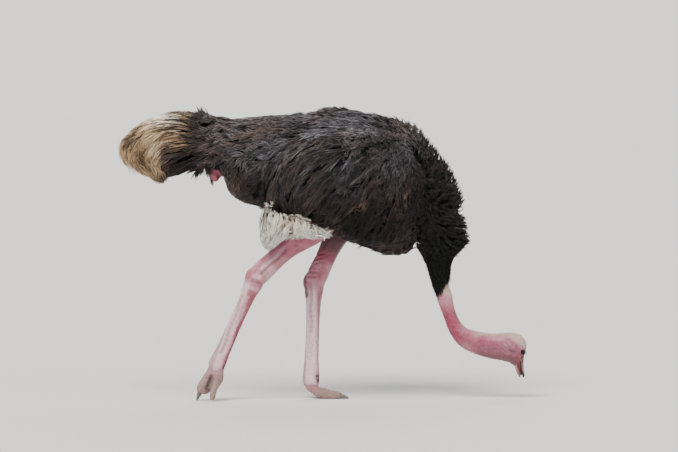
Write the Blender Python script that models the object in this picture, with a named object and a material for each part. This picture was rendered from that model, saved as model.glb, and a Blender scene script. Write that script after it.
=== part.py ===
"""A life-size male ostrich that walks and grazes, as a still museum model.

The bird faces +X, its left side is +Y, and it stands on the floor at Z = 0. The origin lies on the
floor under the middle of its length. Every sub-part is one closed solid: its outer form, coat included.

Most of the bird is lofted through ribs. A rib is a flat, egg-shaped section that holds the Y direction:
it runs from an upper to a lower point of the side outline, and has a half width.
"""

import math
from collections import namedtuple

import bmesh
import bpy
from mathutils import Matrix, Vector

# ---- Driving dimensions, in metres ----------------------------------------------------------------

GAP = 0.0004  # clearance between neighbouring solids
BODY_HALF_WIDTH = 0.255  # the trunk without its wings
WING_HALF_SPAN = 0.312  # from the middle to the outside of a folded wing
SHIN_LENGTH = 0.500  # knee to hock
TOE_JOINT_HEIGHT = 0.072  # of the standing foot, whose toes bend at the joint
LARGE_TOE_LENGTH = 0.132  # toe joint to the root of the claw
SMALL_TOE_LENGTH = 0.126
CLAW_LENGTH = 0.040
EYE_RADIUS = 0.0180
EYE_CENTRE = Vector((0.8920, 0.0270, 0.2140))

# Places of the leg joints: knee, hock and toe joint. The left leg stands, and the right one trails.
LEFT_HOCK = Vector((-0.042, 0.066, 0.520))
LEFT_TOE_JOINT = Vector((-0.057, -0.001, TOE_JOINT_HEIGHT))
RIGHT_HOCK = Vector((-0.302, -0.122, 0.556))
RIGHT_TOE_JOINT = Vector((-0.482, -0.106, 0.155))
LEFT_SHIN_RISE = Vector((0.42, 0.11, 0.90))
RIGHT_SHIN_RISE = Vector((0.72, -0.03, 0.69))

TRUNK_SIDES = 24
WING_SIDES = 14
NECK_SIDES = 12
LEG_SIDES = 10
TOE_SIDES = 10

COLOURS = {
    "black_plumage": (0.030, 0.024, 0.021, 1.0),
    "tan_plumage": (0.520, 0.400, 0.260, 1.0),
    "white_plumage": (0.780, 0.740, 0.660, 1.0),
    "pink_skin": (0.600, 0.300, 0.330, 1.0),
    "bill_horn": (0.560, 0.230, 0.200, 1.0),
    "claw_horn": (0.110, 0.090, 0.080, 1.0),
    "eye": (0.020, 0.014, 0.010, 1.0),
}
ROUGHNESS = {"eye": 0.08, "bill_horn": 0.45, "claw_horn": 0.50, "pink_skin": 0.60}

# ---- Ribs -----------------------------------------------------------------------------------------

# upper and lower are (x, z). low_weight moves the widest place down, and square above 2 fills the corners.
Rib = namedtuple("Rib", "upper lower half_width y low_weight square", defaults=(0.0, 0.0, 2.0))


def rib_point(rib, angle):
    """A point of the rib's edge. Angle 0 is its upper end, and pi its lower one."""
    power = 2.0 / rib.square
    along = math.copysign(abs(math.cos(angle)) ** power, math.cos(angle))
    across = math.copysign(abs(math.sin(angle)) ** power, math.sin(angle))
    x, z = ((u + v) / 2 + (u - v) / 2 * along for u, v in zip(rib.upper, rib.lower))
    return Vector((x, rib.y + rib.half_width * across * (1 - rib.low_weight * along), z))


def blend_value(a, b, c, d, t):
    """The Catmull-Rom curve through b and c, whose neighbours are a and d."""
    return 0.5 * (2 * b + (c - a) * t + (2 * a - 5 * b + 4 * c - d) * t**2 + (3 * b - a - 3 * c + d) * t**3)


def blend_ribs(four, t):
    fields = []
    for values in zip(*four):
        if isinstance(values[0], tuple):
            fields.append(tuple(blend_value(*numbers, t) for numbers in zip(*values)))
        else:
            fields.append(blend_value(*values, t))
    return Rib(*fields)


def smooth(ribs, steps):
    """The ribs with steps - 1 more between each pair, on smooth curves."""
    line = [ribs[0], *ribs, ribs[-1]]
    found = []
    for i in range(len(ribs) - 1):
        found += [blend_ribs(line[i : i + 4], k / steps) for k in range(steps)]
    return [*found, ribs[-1]]


def moved(rib, step):
    """The rib carried by step, an (x, z) pair."""
    upper, lower = (tuple(p + s for p, s in zip(end, step)) for end in (rib.upper, rib.lower))
    return rib._replace(upper=upper, lower=lower)


def middle_of(rib):
    return Vector([(u + v) / 2 for u, v in zip(rib.upper, rib.lower)])


def scaled(rib, factor):
    """The rib made larger or smaller about its own middle."""
    middle = middle_of(rib)
    upper, lower = (tuple(middle.lerp(Vector(end), factor)) for end in (rib.upper, rib.lower))
    return rib._replace(upper=upper, lower=lower, half_width=rib.half_width * factor)


def grown(ribs, margin):
    """The ribs with their edges moved out by margin: a cutter that leaves that clearance."""
    larger = []
    for rib in ribs:
        reach = math.dist(rib.upper, rib.lower) / 2
        larger.append(scaled(rib, 1 + margin / reach)._replace(half_width=rib.half_width + margin))
    return larger


def extended(ribs):
    """The ribs with both end ribs moved outward by the gap, for a cutter that clears the ends as well."""
    longer = list(ribs)
    longer[0] = moved(longer[0], step_between(longer[1], longer[0]) * GAP)
    longer[-1] = moved(longer[-1], step_between(longer[-2], longer[-1]) * GAP)
    return longer


def step_between(a, b):
    """The unit (x, z) direction from the middle of rib a to that of rib b."""
    return (middle_of(b) - middle_of(a)).normalized()


def rounded_end(ribs, length, steps=2):
    """More ribs past the last one, which shrink to a rounded end of that length."""
    way = step_between(ribs[-2], ribs[-1])
    found = []
    for k in range(1, steps + 1):
        turn = math.radians(80) * k / steps
        found.append(moved(scaled(ribs[-1], math.cos(turn)), way * length * math.sin(turn)))
    return [*ribs, *found]


def parted(ribs, first, last):
    """The ribs first to last of a row, drawn back by half the gap at each end that has a neighbour."""
    part = list(ribs[first : last + 1])
    if first > 0:
        part[0] = moved(part[0], step_between(part[0], part[1]) * GAP / 2)
    if last < len(ribs) - 1:
        part[-1] = moved(part[-1], step_between(part[-1], part[-2]) * GAP / 2)
    return part


# ---- Objects --------------------------------------------------------------------------------------


def clear_scene():
    for obj in list(bpy.data.objects):
        bpy.data.objects.remove(obj)


def new_collection(name):
    found = bpy.data.collections.new(name)
    bpy.context.scene.collection.children.link(found)
    return found


def new_material(name):
    material = bpy.data.materials.new(name)
    material.use_nodes = True
    shader = material.node_tree.nodes["Principled BSDF"]
    shader.inputs["Base Color"].default_value = COLOURS[name]
    shader.inputs["Roughness"].default_value = ROUGHNESS.get(name, 0.85)
    shader.inputs["Metallic"].default_value = 0.0
    return material


def new_object(name, mesh, collection, material=None):
    obj = bpy.data.objects.new(name, mesh)
    collection.objects.link(obj)
    if material:
        mesh.materials.append(material)
    return obj


def loft(name, ribs, sides, collection, material=None):
    """A closed body through the ribs, with a flat face at each end."""
    shape = bmesh.new()
    rings = []
    for rib in ribs:
        angles = [math.tau * k / sides for k in range(sides)]
        rings.append([shape.verts.new(rib_point(rib, angle)) for angle in angles])
    for near, far in zip(rings, rings[1:]):
        for k in range(sides):
            following = (k + 1) % sides
            shape.faces.new((near[k], near[following], far[following]))
            shape.faces.new((near[k], far[following], far[k]))
    shape.faces.new(rings[0])
    shape.faces.new(rings[-1])
    bmesh.ops.recalc_face_normals(shape, faces=shape.faces)
    mesh = bpy.data.meshes.new(name)
    shape.to_mesh(mesh)
    shape.free()
    mesh.shade_smooth()
    mesh.set_sharp_from_angle(angle=math.radians(50))
    return new_object(name, mesh, collection, material)


def helper(obj):
    """Marks the object as a cutter, which is no part of the bird."""
    obj.hide_render = True
    obj.display_type = "WIRE"
    return obj


def cutter_loft(name, ribs, sides, collection):
    """A cutter that clears the body through the ribs by the gap, on its sides and its ends."""
    return helper(loft(name, extended(grown(ribs, GAP)), sides, collection))


def cut(obj, *cutters):
    """Takes the cutters' shapes out of the object."""
    for cutter in cutters:
        modifier = obj.modifiers.new(f"minus_{cutter.name}", "BOOLEAN")
        modifier.operation = "DIFFERENCE"
        modifier.solver = "EXACT"
        modifier.object = cutter


def floor_cutter(collection):
    """A slab whose top is the floor: it gives the soles their small flats."""
    thickness = 0.1
    bpy.ops.mesh.primitive_cube_add(size=1, location=(0, 0, -thickness / 2))
    slab = bpy.context.active_object
    slab.name = "floor_cutter"
    slab.scale = (2.4, 1.2, thickness)
    bpy.ops.object.transform_apply(location=False, rotation=False, scale=True)
    for holder in list(slab.users_collection):
        holder.objects.unlink(slab)
    collection.objects.link(slab)
    return helper(slab)


# ---- Trunk, neck and head: one row of ribs, from the root of the tail to the face ------------------


def spine_ribs():
    """The named control ribs, from the root of the tail to the face."""
    w = BODY_HALF_WIDTH
    tail_root = Rib((-0.530, 1.290), (-0.538, 1.036), 0.46 * w, low_weight=0.10)
    pelvis = Rib((-0.455, 1.274), (-0.466, 1.020), 0.65 * w, low_weight=0.08)
    rump_drop = Rib((-0.400, 1.266), (-0.428, 0.930), 0.74 * w, low_weight=0.05)
    rump = Rib((-0.330, 1.272), (-0.355, 0.882), 0.81 * w, low_weight=0.03)
    loin = Rib((-0.200, 1.283), (-0.210, 0.842), 0.90 * w, low_weight=0.04)
    flank = Rib((-0.050, 1.300), (-0.040, 0.775), 0.98 * w, low_weight=0.06)
    back = Rib((0.099, 1.311), (0.100, 0.714), 1.02 * w, low_weight=0.08)
    withers = Rib((0.240, 1.284), (0.232, 0.662), 1.00 * w, low_weight=0.10)
    shoulder = Rib((0.360, 1.254), (0.335, 0.636), 0.90 * w, low_weight=0.08)
    breast = Rib((0.440, 1.208), (0.398, 0.668), 0.76 * w, low_weight=0.06)
    hackles = [
        Rib((0.492, 1.128), (0.413, 0.683), 0.64 * w),
        Rib((0.571, 1.032), (0.428, 0.664), 0.52 * w),
        Rib((0.620, 0.905), (0.440, 0.646), 0.42 * w),
        Rib((0.636, 0.785), (0.448, 0.630), 0.34 * w),
        Rib((0.648, 0.698), (0.455, 0.614), 0.27 * w),
    ]
    collar = Rib((0.590, 0.640), (0.463, 0.594), 0.052)
    sleeve = Rib((0.575, 0.582), (0.474, 0.560), 0.045)
    cuff = Rib((0.573, 0.528), (0.488, 0.508), 0.039)
    neck = [
        Rib((0.577, 0.490), (0.504, 0.468), 0.034),
        Rib((0.583, 0.448), (0.519, 0.430), 0.031),
        Rib((0.591, 0.412), (0.531, 0.394), 0.030),
        Rib((0.602, 0.376), (0.545, 0.355), 0.030),
        Rib((0.617, 0.346), (0.561, 0.314), 0.031),
        Rib((0.640, 0.323), (0.583, 0.272), 0.033),
        Rib((0.668, 0.309), (0.613, 0.238), 0.036),
        Rib((0.704, 0.300), (0.658, 0.2115), 0.039),
        Rib((0.748, 0.295), (0.711, 0.1915), 0.041),
        Rib((0.792, 0.295), (0.764, 0.1775), 0.041),
    ]
    nape = Rib((0.830, 0.297), (0.806, 0.1700), 0.0405)
    crown = Rib((0.862, 0.296), (0.833, 0.1630), 0.0410)
    brow = Rib((0.890, 0.286), (0.849, 0.1550), 0.0415, low_weight=-0.04)
    forehead = Rib((0.908, 0.264), (0.858, 0.1480), 0.0405, low_weight=-0.08)
    lore = Rib((0.914, 0.238), (0.863, 0.145), 0.0370, low_weight=-0.06)
    face = Rib((0.909, 0.207), (0.864, 0.137), 0.0290)
    rear = [tail_root, pelvis, rump_drop, rump, loin, flank, back, withers, shoulder, breast]
    return [*rear, *hackles, collar, sleeve, cuff, *neck, nape, crown, brow, forehead, lore, face]


# Names of the solids along that row, each with the index of its last control rib and its side count.
SPINE_PARTS = (
    ("rump", 4, TRUNK_SIDES, "black_plumage"),
    ("trunk", 8, TRUNK_SIDES, "black_plumage"),
    ("breast", 11, TRUNK_SIDES, "black_plumage"),
    ("neck_hackles", 14, TRUNK_SIDES, "black_plumage"),
    ("neck_sleeve", 18, NECK_SIDES, "black_plumage"),
    ("neck_stem", 21, NECK_SIDES, "pink_skin"),
    ("neck_bend", 24, NECK_SIDES, "pink_skin"),
    ("neck_throat", 28, NECK_SIDES, "pink_skin"),
    ("head", 33, NECK_SIDES, "pink_skin"),
)
STEPS_PER_RIB = 2


def build_spine(bird, cutters, materials):
    """Trunk, neck and head, and the cutters that give what lies on the trunk or the face its inner side."""
    row = smooth(spine_ribs(), STEPS_PER_RIB)
    made = {}
    first = 0
    for name, last_control, sides, material in SPINE_PARTS:
        last = last_control * STEPS_PER_RIB
        part = parted(row, first, last)
        made[name] = loft(name, part, sides, bird, materials[material])
        first = last
    trunk_end = SPINE_PARTS[3][1] * STEPS_PER_RIB
    head_start = SPINE_PARTS[-2][1] * STEPS_PER_RIB
    trunk_cutter = cutter_loft("trunk_cutter", row[: trunk_end + 1], TRUNK_SIDES, cutters)
    head_cutter = cutter_loft("head_cutter", row[head_start:], NECK_SIDES, cutters)
    return made, trunk_cutter, head_cutter


# ---- Tail and vent --------------------------------------------------------------------------------


def tail_ribs():
    """From the root of the tail to the drooping ends of its plumes."""
    w = BODY_HALF_WIDTH
    return [
        Rib((-0.530, 1.290), (-0.538, 1.036), 0.46 * w, low_weight=0.10),
        Rib((-0.590, 1.297), (-0.600, 1.016), 0.50 * w, low_weight=0.06),
        Rib((-0.652, 1.304), (-0.668, 0.998), 0.56 * w),
        Rib((-0.712, 1.294), (-0.732, 0.994), 0.61 * w),
        Rib((-0.782, 1.268), (-0.790, 1.016), 0.62 * w),
        Rib((-0.850, 1.232), (-0.848, 1.042), 0.52 * w),
        Rib((-0.896, 1.192), (-0.890, 1.086), 0.34 * w),
    ]


def build_tail(bird, materials, trunk_cutter):
    row = tail_ribs()
    row[0] = moved(row[0], (-2 * GAP, 0))
    coverts_end = 3 * STEPS_PER_RIB
    row = rounded_end(smooth(row, STEPS_PER_RIB), 0.024)
    coverts = loft("tail_coverts", parted(row, 0, coverts_end), TRUNK_SIDES, bird, materials["black_plumage"])
    cut(coverts, trunk_cutter)
    loft("tail_plumes", parted(row, coverts_end, len(row) - 1), TRUNK_SIDES, bird, materials["tan_plumage"])
    return coverts


def build_vent(bird, cutters, materials, trunk_cutter):
    """The bare bulb of skin under the root of the tail."""
    bpy.ops.mesh.primitive_uv_sphere_add(segments=12, ring_count=8, radius=1, location=(-0.486, 0, 1.022))
    vent = bpy.context.active_object
    vent.name = "vent"
    vent.scale = (0.031, 0.034, 0.043)
    bpy.ops.object.transform_apply(location=False, rotation=False, scale=True)
    for holder in list(vent.users_collection):
        holder.objects.unlink(vent)
    bird.objects.link(vent)
    vent.data.materials.append(materials["pink_skin"])
    vent.data.shade_smooth()
    row = smooth(tail_ribs(), STEPS_PER_RIB)[: 3 * STEPS_PER_RIB]
    tail_cutter = cutter_loft("tail_cutter", row, TRUNK_SIDES, cutters)
    cut(vent, trunk_cutter, tail_cutter)


# ---- Legs -----------------------------------------------------------------------------------------

# Along the shin, from the hock up: share of its length, half depth and half width.
SHIN_STATIONS = (
    (0.07, 0.0480, 0.0395),
    (0.17, 0.0460, 0.0370),
    (0.28, 0.0450, 0.0395),
    (0.42, 0.0530, 0.0500),
    (0.60, 0.0800, 0.0640),
    (0.80, 0.1000, 0.0720),
)
# Along the tarsus, from the hock down.
TARSUS_STATIONS = (
    (0.08, 0.0430, 0.0350),
    (0.18, 0.0355, 0.0280),
    (0.32, 0.0315, 0.0240),
    (0.55, 0.0302, 0.0225),
    (0.78, 0.0325, 0.0245),
    (0.92, 0.0370, 0.0290),
    (1.00, 0.0380, 0.0310),
)
HOCK_HALF_DEPTH, HOCK_HALF_WIDTH = 0.0480, 0.0390


def leg_rib(centre, along, half_depth, half_width):
    """A section across the leg. Its upper point is the front edge, and its lower one the back."""
    forward = Vector((along.z, 0, -along.x)).normalized() * half_depth
    front, back = centre + forward, centre - forward
    return Rib((front.x, front.z), (back.x, back.z), half_width, y=centre.y, square=2.2)


def leg_ribs(hock, rise, toe_joint):
    """Ribs from inside the trunk down to the toe joint, and the index of the one across the hock."""
    shin_way = rise.normalized()
    tarsus_way = (hock - toe_joint).normalized()
    ribs = []
    for share, depth, width in reversed(SHIN_STATIONS):
        ribs.append(leg_rib(hock + shin_way * SHIN_LENGTH * share, shin_way, depth, width))
    hock_at = len(ribs)
    ribs.append(leg_rib(hock, shin_way + tarsus_way, HOCK_HALF_DEPTH, HOCK_HALF_WIDTH))
    for share, depth, width in TARSUS_STATIONS:
        ribs.append(leg_rib(hock.lerp(toe_joint, share), tarsus_way, depth, width))
    return ribs, hock_at


def build_leg(side, hock, rise, toe_joint, bird, cutters, materials, trunk_cutter):
    """The shin and the tarsus of one leg. Returns the shin's cutter and the tarsus's cutter."""
    ribs, hock_at = leg_ribs(hock, rise, toe_joint)
    row = smooth(ribs, STEPS_PER_RIB)
    row = rounded_end(row, 0.022)
    hock_row = hock_at * STEPS_PER_RIB
    shin = loft(f"shin_{side}", parted(row, 0, hock_row), LEG_SIDES, bird, materials["pink_skin"])
    cut(shin, trunk_cutter)
    tarsus_row = parted(row, hock_row, len(row) - 1)
    loft(f"tarsus_{side}", tarsus_row, LEG_SIDES, bird, materials["pink_skin"])
    shin_cutter = cutter_loft(f"shin_{side}_cutter", row[: hock_row + 1], LEG_SIDES, cutters)
    tarsus_cutter = cutter_loft(f"tarsus_{side}_cutter", tarsus_row, LEG_SIDES, cutters)
    return shin_cutter, tarsus_cutter


# ---- Toes and claws -------------------------------------------------------------------------------


def toe_ribs(length, half_width, thickness, y):
    """A padded toe of the standing foot, which leaves the joint and comes down to the floor."""
    joint = LEFT_TOE_JOINT
    top = thickness

    def rib(front, back, width, aside, square=2.0):
        upper, lower = ((joint.x + x, z) for x, z in (front, back))
        return Rib(upper, lower, width * half_width, y=joint.y + aside * y, square=square)

    high = TOE_JOINT_HEIGHT
    ribs = [
        rib((-0.026, high + 0.004), (-0.020, high - 0.034), 0.72, 0.2),
        rib((0.000, high + 0.020), (0.004, high - 0.048), 0.94, 0.3),
        rib((0.24 * length, 0.5 * (top + high)), (0.22 * length, 0.005), 1.0, 0.55, 2.3),
    ]
    # Along the lying part: share of the length, height over the top, half width, and share of y.
    for share, rise, width, aside in ((0.46, 0.30, 1.00, 0.8), (0.72, 0.0, 0.96, 1.0), (1.00, -0.16, 0.80, 1.0)):
        ribs.append(rib((share * length, top + rise * thickness), (share * length, -0.0012), width, aside, 2.5))
    return ribs


def claw_ribs(length, half_width, thickness, y):
    """The nail past the end of the standing foot's large toe."""
    joint = LEFT_TOE_JOINT
    ribs = []
    for share, height, width in ((0.0, 0.74, 0.56), (0.5, 0.52, 0.42), (0.9, 0.24, 0.20)):
        x = joint.x + length + GAP + share * CLAW_LENGTH
        upper, lower = (x, height * thickness - 0.0012), (x, -0.0012)
        ribs.append(Rib(upper, lower, width * half_width, y=joint.y + y, square=2.2))
    return ribs


def standing_foot():
    """The ribs of the large toe, the small toe and the claw of the left foot, whose toes lie on the floor."""
    large = (LARGE_TOE_LENGTH, 0.0270, 0.0380, -0.013)
    small = (SMALL_TOE_LENGTH, 0.0185, 0.0300, 0.062)
    return toe_ribs(*large), toe_ribs(*small), claw_ribs(*large)


def trailing_foot():
    """The same ribs of the right foot. Its heel is up, so the toes hang, and the claw alone is on the floor."""
    large = [
        Rib((-0.4680, 0.1560), (-0.5120, 0.1600), 0.0180, y=-0.1050),
        Rib((-0.4780, 0.1180), (-0.5230, 0.1380), 0.0240, y=-0.1040),
        Rib((-0.4920, 0.0800), (-0.5480, 0.1000), 0.0260, y=-0.1020, square=2.3),
        Rib((-0.5000, 0.0500), (-0.5675, 0.0670), 0.0260, y=-0.1000, square=2.5),
        Rib((-0.5220, 0.0300), (-0.5695, 0.0440), 0.0230, y=-0.0990, square=2.5),
    ]
    small = [
        Rib((-0.4480, 0.1500), (-0.4900, 0.1550), 0.0180, y=-0.1100),
        Rib((-0.4460, 0.1180), (-0.4920, 0.1220), 0.0210, y=-0.1180),
        Rib((-0.4510, 0.0880), (-0.4970, 0.0860), 0.0210, y=-0.1280),
        Rib((-0.4760, 0.0540), (-0.5080, 0.0500), 0.0188, y=-0.1395),
        Rib((-0.4835, 0.0200), (-0.5090, 0.0180), 0.0175, y=-0.1460),
    ]
    claw = [
        Rib((-0.5390, 0.0360), (-0.5660, 0.0420), 0.0120, y=-0.0990),
        Rib((-0.5530, 0.0180), (-0.5700, 0.0230), 0.0090, y=-0.0990),
        Rib((-0.5630, 0.0010), (-0.5720, 0.0040), 0.0050, y=-0.0990),
    ]
    return large, small, claw


def build_foot(side, rows, bird, cutters, materials, tarsus_cutter, floor):
    """The large inner toe with its claw, and the small outer toe, which has none."""
    large, small, claw = rows
    large_row = rounded_end(smooth(large, 2), 0.006)
    small_row = rounded_end(smooth(small, 2), 0.014)
    claw_row = rounded_end(claw, 0.004)
    large = loft(f"toe_large_{side}", large_row, TOE_SIDES, bird, materials["pink_skin"])
    small = loft(f"toe_small_{side}", small_row, TOE_SIDES, bird, materials["pink_skin"])
    claw = loft(f"claw_{side}", claw_row, TOE_SIDES, bird, materials["claw_horn"])
    large_cutter = cutter_loft(f"toe_large_{side}_cutter", large_row, TOE_SIDES, cutters)
    cut(large, tarsus_cutter, floor)
    cut(small, tarsus_cutter, large_cutter, floor)
    cut(claw, large_cutter, floor)


# ---- Wings ----------------------------------------------------------------------------------------


def wing_ribs(outward):
    """A folded wing, from the shoulder back. Its inner half lies in the trunk and is cut away."""
    inner_reach = 0.03

    def rib(upper, lower, outer_reach, square=2.3):
        middle = (outer_reach + inner_reach) / 2
        return Rib(upper, lower, (outer_reach - inner_reach) / 2, y=outward * middle, square=square)

    span = WING_HALF_SPAN
    return [
        rib((0.430, 1.060), (0.424, 0.850), 0.66 * span),
        rib((0.375, 1.165), (0.370, 0.735), 0.80 * span),
        rib((0.280, 1.222), (0.278, 0.695), 0.93 * span),
        rib((0.125, 1.244), (0.122, 0.728), span),
        rib((-0.012, 1.232), (-0.010, 0.778), span),
        rib((-0.125, 1.188), (-0.122, 0.822), 0.97 * span),
        rib((-0.202, 1.100), (-0.200, 0.850), 0.88 * span),
        rib((-0.246, 1.000), (-0.248, 0.858), 0.77 * span),
    ]


def plume_ribs(outward):
    """The white flight plumes that hang under the back of the wing."""
    inner_reach = 0.42 * WING_HALF_SPAN

    def rib(upper, lower, outer_reach):
        middle = (outer_reach + inner_reach) / 2
        return Rib(upper, lower, (outer_reach - inner_reach) / 2, y=outward * middle, square=2.2)

    span = WING_HALF_SPAN
    return [
        rib((0.060, 0.800), (0.058, 0.768), 0.72 * span),
        rib((-0.010, 0.830), (-0.010, 0.748), 0.82 * span),
        rib((-0.085, 0.860), (-0.085, 0.744), 0.87 * span),
        rib((-0.165, 0.880), (-0.168, 0.740), 0.88 * span),
        rib((-0.225, 0.910), (-0.235, 0.692), 0.86 * span),
        rib((-0.268, 0.900), (-0.276, 0.712), 0.78 * span),
    ]


def build_wing(side, outward, bird, cutters, materials, trunk_cutter, shin_cutter):
    """The wing and its white plumes."""
    row = smooth(wing_ribs(outward), STEPS_PER_RIB)
    row = rounded_end(row, 0.020)
    row = rounded_end(row[::-1], 0.022)[::-1]
    wing = loft(f"wing_{side}", row, WING_SIDES, bird, materials["black_plumage"])
    wing_cutter = cutter_loft(f"wing_{side}_cutter", row, WING_SIDES, cutters)
    cut(wing, trunk_cutter, shin_cutter)
    plume_row = rounded_end(smooth(plume_ribs(outward), STEPS_PER_RIB), 0.020)
    plume_row = rounded_end(plume_row[::-1], 0.014)[::-1]
    plumes = loft(f"wing_plumes_{side}", plume_row, LEG_SIDES, bird, materials["white_plumage"])
    cut(plumes, trunk_cutter, wing_cutter, shin_cutter)


# ---- Bill and eyes --------------------------------------------------------------------------------


def build_bill(bird, cutters, materials, head_cutter):
    """The broad, flat bill, a little open. Both halves start inside the face, which is cut from them."""
    upper = [
        Rib((0.9075, 0.2110), (0.8725, 0.1640), 0.0270, square=2.4),
        Rib((0.9072, 0.1990), (0.8760, 0.1540), 0.0268, square=2.4),
        Rib((0.9040, 0.1780), (0.8800, 0.1420), 0.0245, square=2.4),
        Rib((0.9025, 0.1500), (0.8860, 0.1270), 0.0205, square=2.4),
        Rib((0.9065, 0.1140), (0.8960, 0.1035), 0.0150, square=2.2),
    ]
    lower = [
        Rib((0.8710, 0.1650), (0.8620, 0.1460), 0.0250, square=2.4),
        Rib((0.8780, 0.1350), (0.8690, 0.1210), 0.0215, square=2.4),
        Rib((0.8860, 0.1110), (0.8790, 0.1015), 0.0155, square=2.2),
    ]
    upper_row = rounded_end(smooth(upper, 2), 0.013)
    lower_row = rounded_end(smooth(lower, 2), 0.012)
    upper_half = loft("bill_upper", upper_row, TOE_SIDES, bird, materials["bill_horn"])
    lower_half = loft("bill_lower", lower_row, TOE_SIDES, bird, materials["bill_horn"])
    upper_cutter = cutter_loft("bill_upper_cutter", upper_row, TOE_SIDES, cutters)
    cut(upper_half, head_cutter)
    cut(lower_half, head_cutter, upper_cutter)


def build_eyes(bird, cutters, materials, head):
    for side, outward in (("left", 1), ("right", -1)):
        centre = EYE_CENTRE * Vector((1, outward, 1))
        for name, radius in ((f"eye_{side}", EYE_RADIUS), (f"eye_{side}_cutter", EYE_RADIUS + GAP)):
            bpy.ops.mesh.primitive_uv_sphere_add(segments=12, ring_count=7, radius=radius, location=centre)
            ball = bpy.context.active_object
            ball.name = name
            ball.data.shade_smooth()
            is_cutter = name.endswith("cutter")
            for holder in list(ball.users_collection):
                holder.objects.unlink(ball)
            (cutters if is_cutter else bird).objects.link(ball)
            if is_cutter:
                cut(head, helper(ball))
            else:
                ball.data.materials.append(materials["eye"])


# ---- The whole bird -------------------------------------------------------------------------------


def main():
    clear_scene()
    bird = new_collection("ostrich")
    cutters = new_collection("cutters")
    materials = {name: new_material(name) for name in COLOURS}
    floor = floor_cutter(cutters)
    spine, trunk_cutter, head_cutter = build_spine(bird, cutters, materials)
    build_tail(bird, materials, trunk_cutter)
    build_vent(bird, cutters, materials, trunk_cutter)
    build_bill(bird, cutters, materials, head_cutter)
    build_eyes(bird, cutters, materials, spine["head"])
    legs = (
        ("left", 1, LEFT_HOCK, LEFT_SHIN_RISE, LEFT_TOE_JOINT),
        ("right", -1, RIGHT_HOCK, RIGHT_SHIN_RISE, RIGHT_TOE_JOINT),
    )
    feet = {"left": standing_foot(), "right": trailing_foot()}
    for side, outward, *leg in legs:
        shin_cutter, tarsus_cutter = build_leg(side, *leg, bird, cutters, materials, trunk_cutter)
        build_foot(side, feet[side], bird, cutters, materials, tarsus_cutter, floor)
        build_wing(side, outward, bird, cutters, materials, trunk_cutter, shin_cutter)


main()
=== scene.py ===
"""The looks of a life-size male ostrich that walks and grazes: its skin, plumage, horn and eyes.

The skin is one closed mesh that lies inside the solids by the depth of the plumage. The plumage is built
of feathers: each has a shaft that follows the body's outer form, and locks of barbs that leave the shaft.
"""

import math
from collections import namedtuple
from functools import partial

import bpy
import numpy as np
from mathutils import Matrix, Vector
from mathutils.bvhtree import BVHTree


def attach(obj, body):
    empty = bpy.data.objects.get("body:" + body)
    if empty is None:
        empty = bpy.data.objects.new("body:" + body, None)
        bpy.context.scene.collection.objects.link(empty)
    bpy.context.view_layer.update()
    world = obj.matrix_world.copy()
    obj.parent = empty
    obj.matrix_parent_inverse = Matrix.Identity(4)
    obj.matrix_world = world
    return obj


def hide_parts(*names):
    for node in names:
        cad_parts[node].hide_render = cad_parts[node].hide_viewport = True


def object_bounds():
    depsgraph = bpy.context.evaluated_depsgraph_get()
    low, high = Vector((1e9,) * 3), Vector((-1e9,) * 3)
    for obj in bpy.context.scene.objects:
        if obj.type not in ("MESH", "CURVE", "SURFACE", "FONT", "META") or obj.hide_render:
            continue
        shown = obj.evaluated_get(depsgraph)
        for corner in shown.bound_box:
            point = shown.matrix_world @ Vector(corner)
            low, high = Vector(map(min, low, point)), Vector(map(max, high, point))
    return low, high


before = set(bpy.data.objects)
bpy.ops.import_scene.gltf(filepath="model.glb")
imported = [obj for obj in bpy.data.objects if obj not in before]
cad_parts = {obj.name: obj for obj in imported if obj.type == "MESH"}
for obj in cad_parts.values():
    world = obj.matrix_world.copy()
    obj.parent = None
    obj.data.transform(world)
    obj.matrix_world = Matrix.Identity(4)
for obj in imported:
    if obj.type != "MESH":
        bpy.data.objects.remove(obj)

CAD_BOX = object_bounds()

bl_info = {
    "name": "Ostrich looks",
    "version": (1, 0, 0),
    "blender": (4, 5, 0),
    "location": "3D View > Sidebar > Ostrich",
    "description": "Skin, plumage, horn, eyes and stage of a life-size ostrich",
    "category": "Object",
}

SIDES = (("left", 1), ("right", -1))


def on_both_sides(*parts):
    """The names of these parts' CAD nodes, side by side."""
    return tuple(f"{part}_{side}" for side, _ in SIDES for part in parts)


BODY_NODES = ("rump", "trunk", "breast", "neck_hackles", "neck_sleeve", "tail_coverts")
BODY_NODES += on_both_sides("wing")
BARE_NODES = ("neck_stem", "neck_bend", "neck_throat", "head", "vent")
LEG_NODES = on_both_sides("shin", "tarsus", "toe_large", "toe_small")
SKIN_NODES = BODY_NODES + BARE_NODES + LEG_NODES
HORN_NODES = ("bill_upper", "bill_lower", *on_both_sides("claw"))
EYE_NODES = on_both_sides("eye")

FINE = 0.0040  # grid of the skin
HORN_GRID = 0.0012  # grid of the bill and the claws
LASHES = 26  # on each eye
COARSE = 0.0100  # grid of the outer form that the feathers follow
OVERLAP = 0.0008  # by which the copied solids grow, to close the gaps between them
TRIES = 5  # places tried for each feather's root
CELL_HASH = np.array([73856093, 19349663, 83492791])  # turns a cell of space into one number

# How deep the skin lies under the outer form at each kind of place.
SKIN_DEPTH = {
    "rump": 0.026,
    "trunk": 0.026,
    "wing_left": 0.024,
    "wing_right": 0.024,
    "breast": 0.034,
    "neck_hackles": 0.044,
    "neck_sleeve": 0.007,
    "tail_coverts": 0.045,
    "tail_plumes": 0.075,
}


# ---- Selection, modifiers and meshes ---------------------------------------------------------------


def select_only(*objs):
    """Selects these objects alone. The first becomes the active one."""
    bpy.ops.object.select_all(action="DESELECT")
    for obj in objs:
        obj.select_set(True)
    bpy.context.view_layer.objects.active = objs[0]


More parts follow.
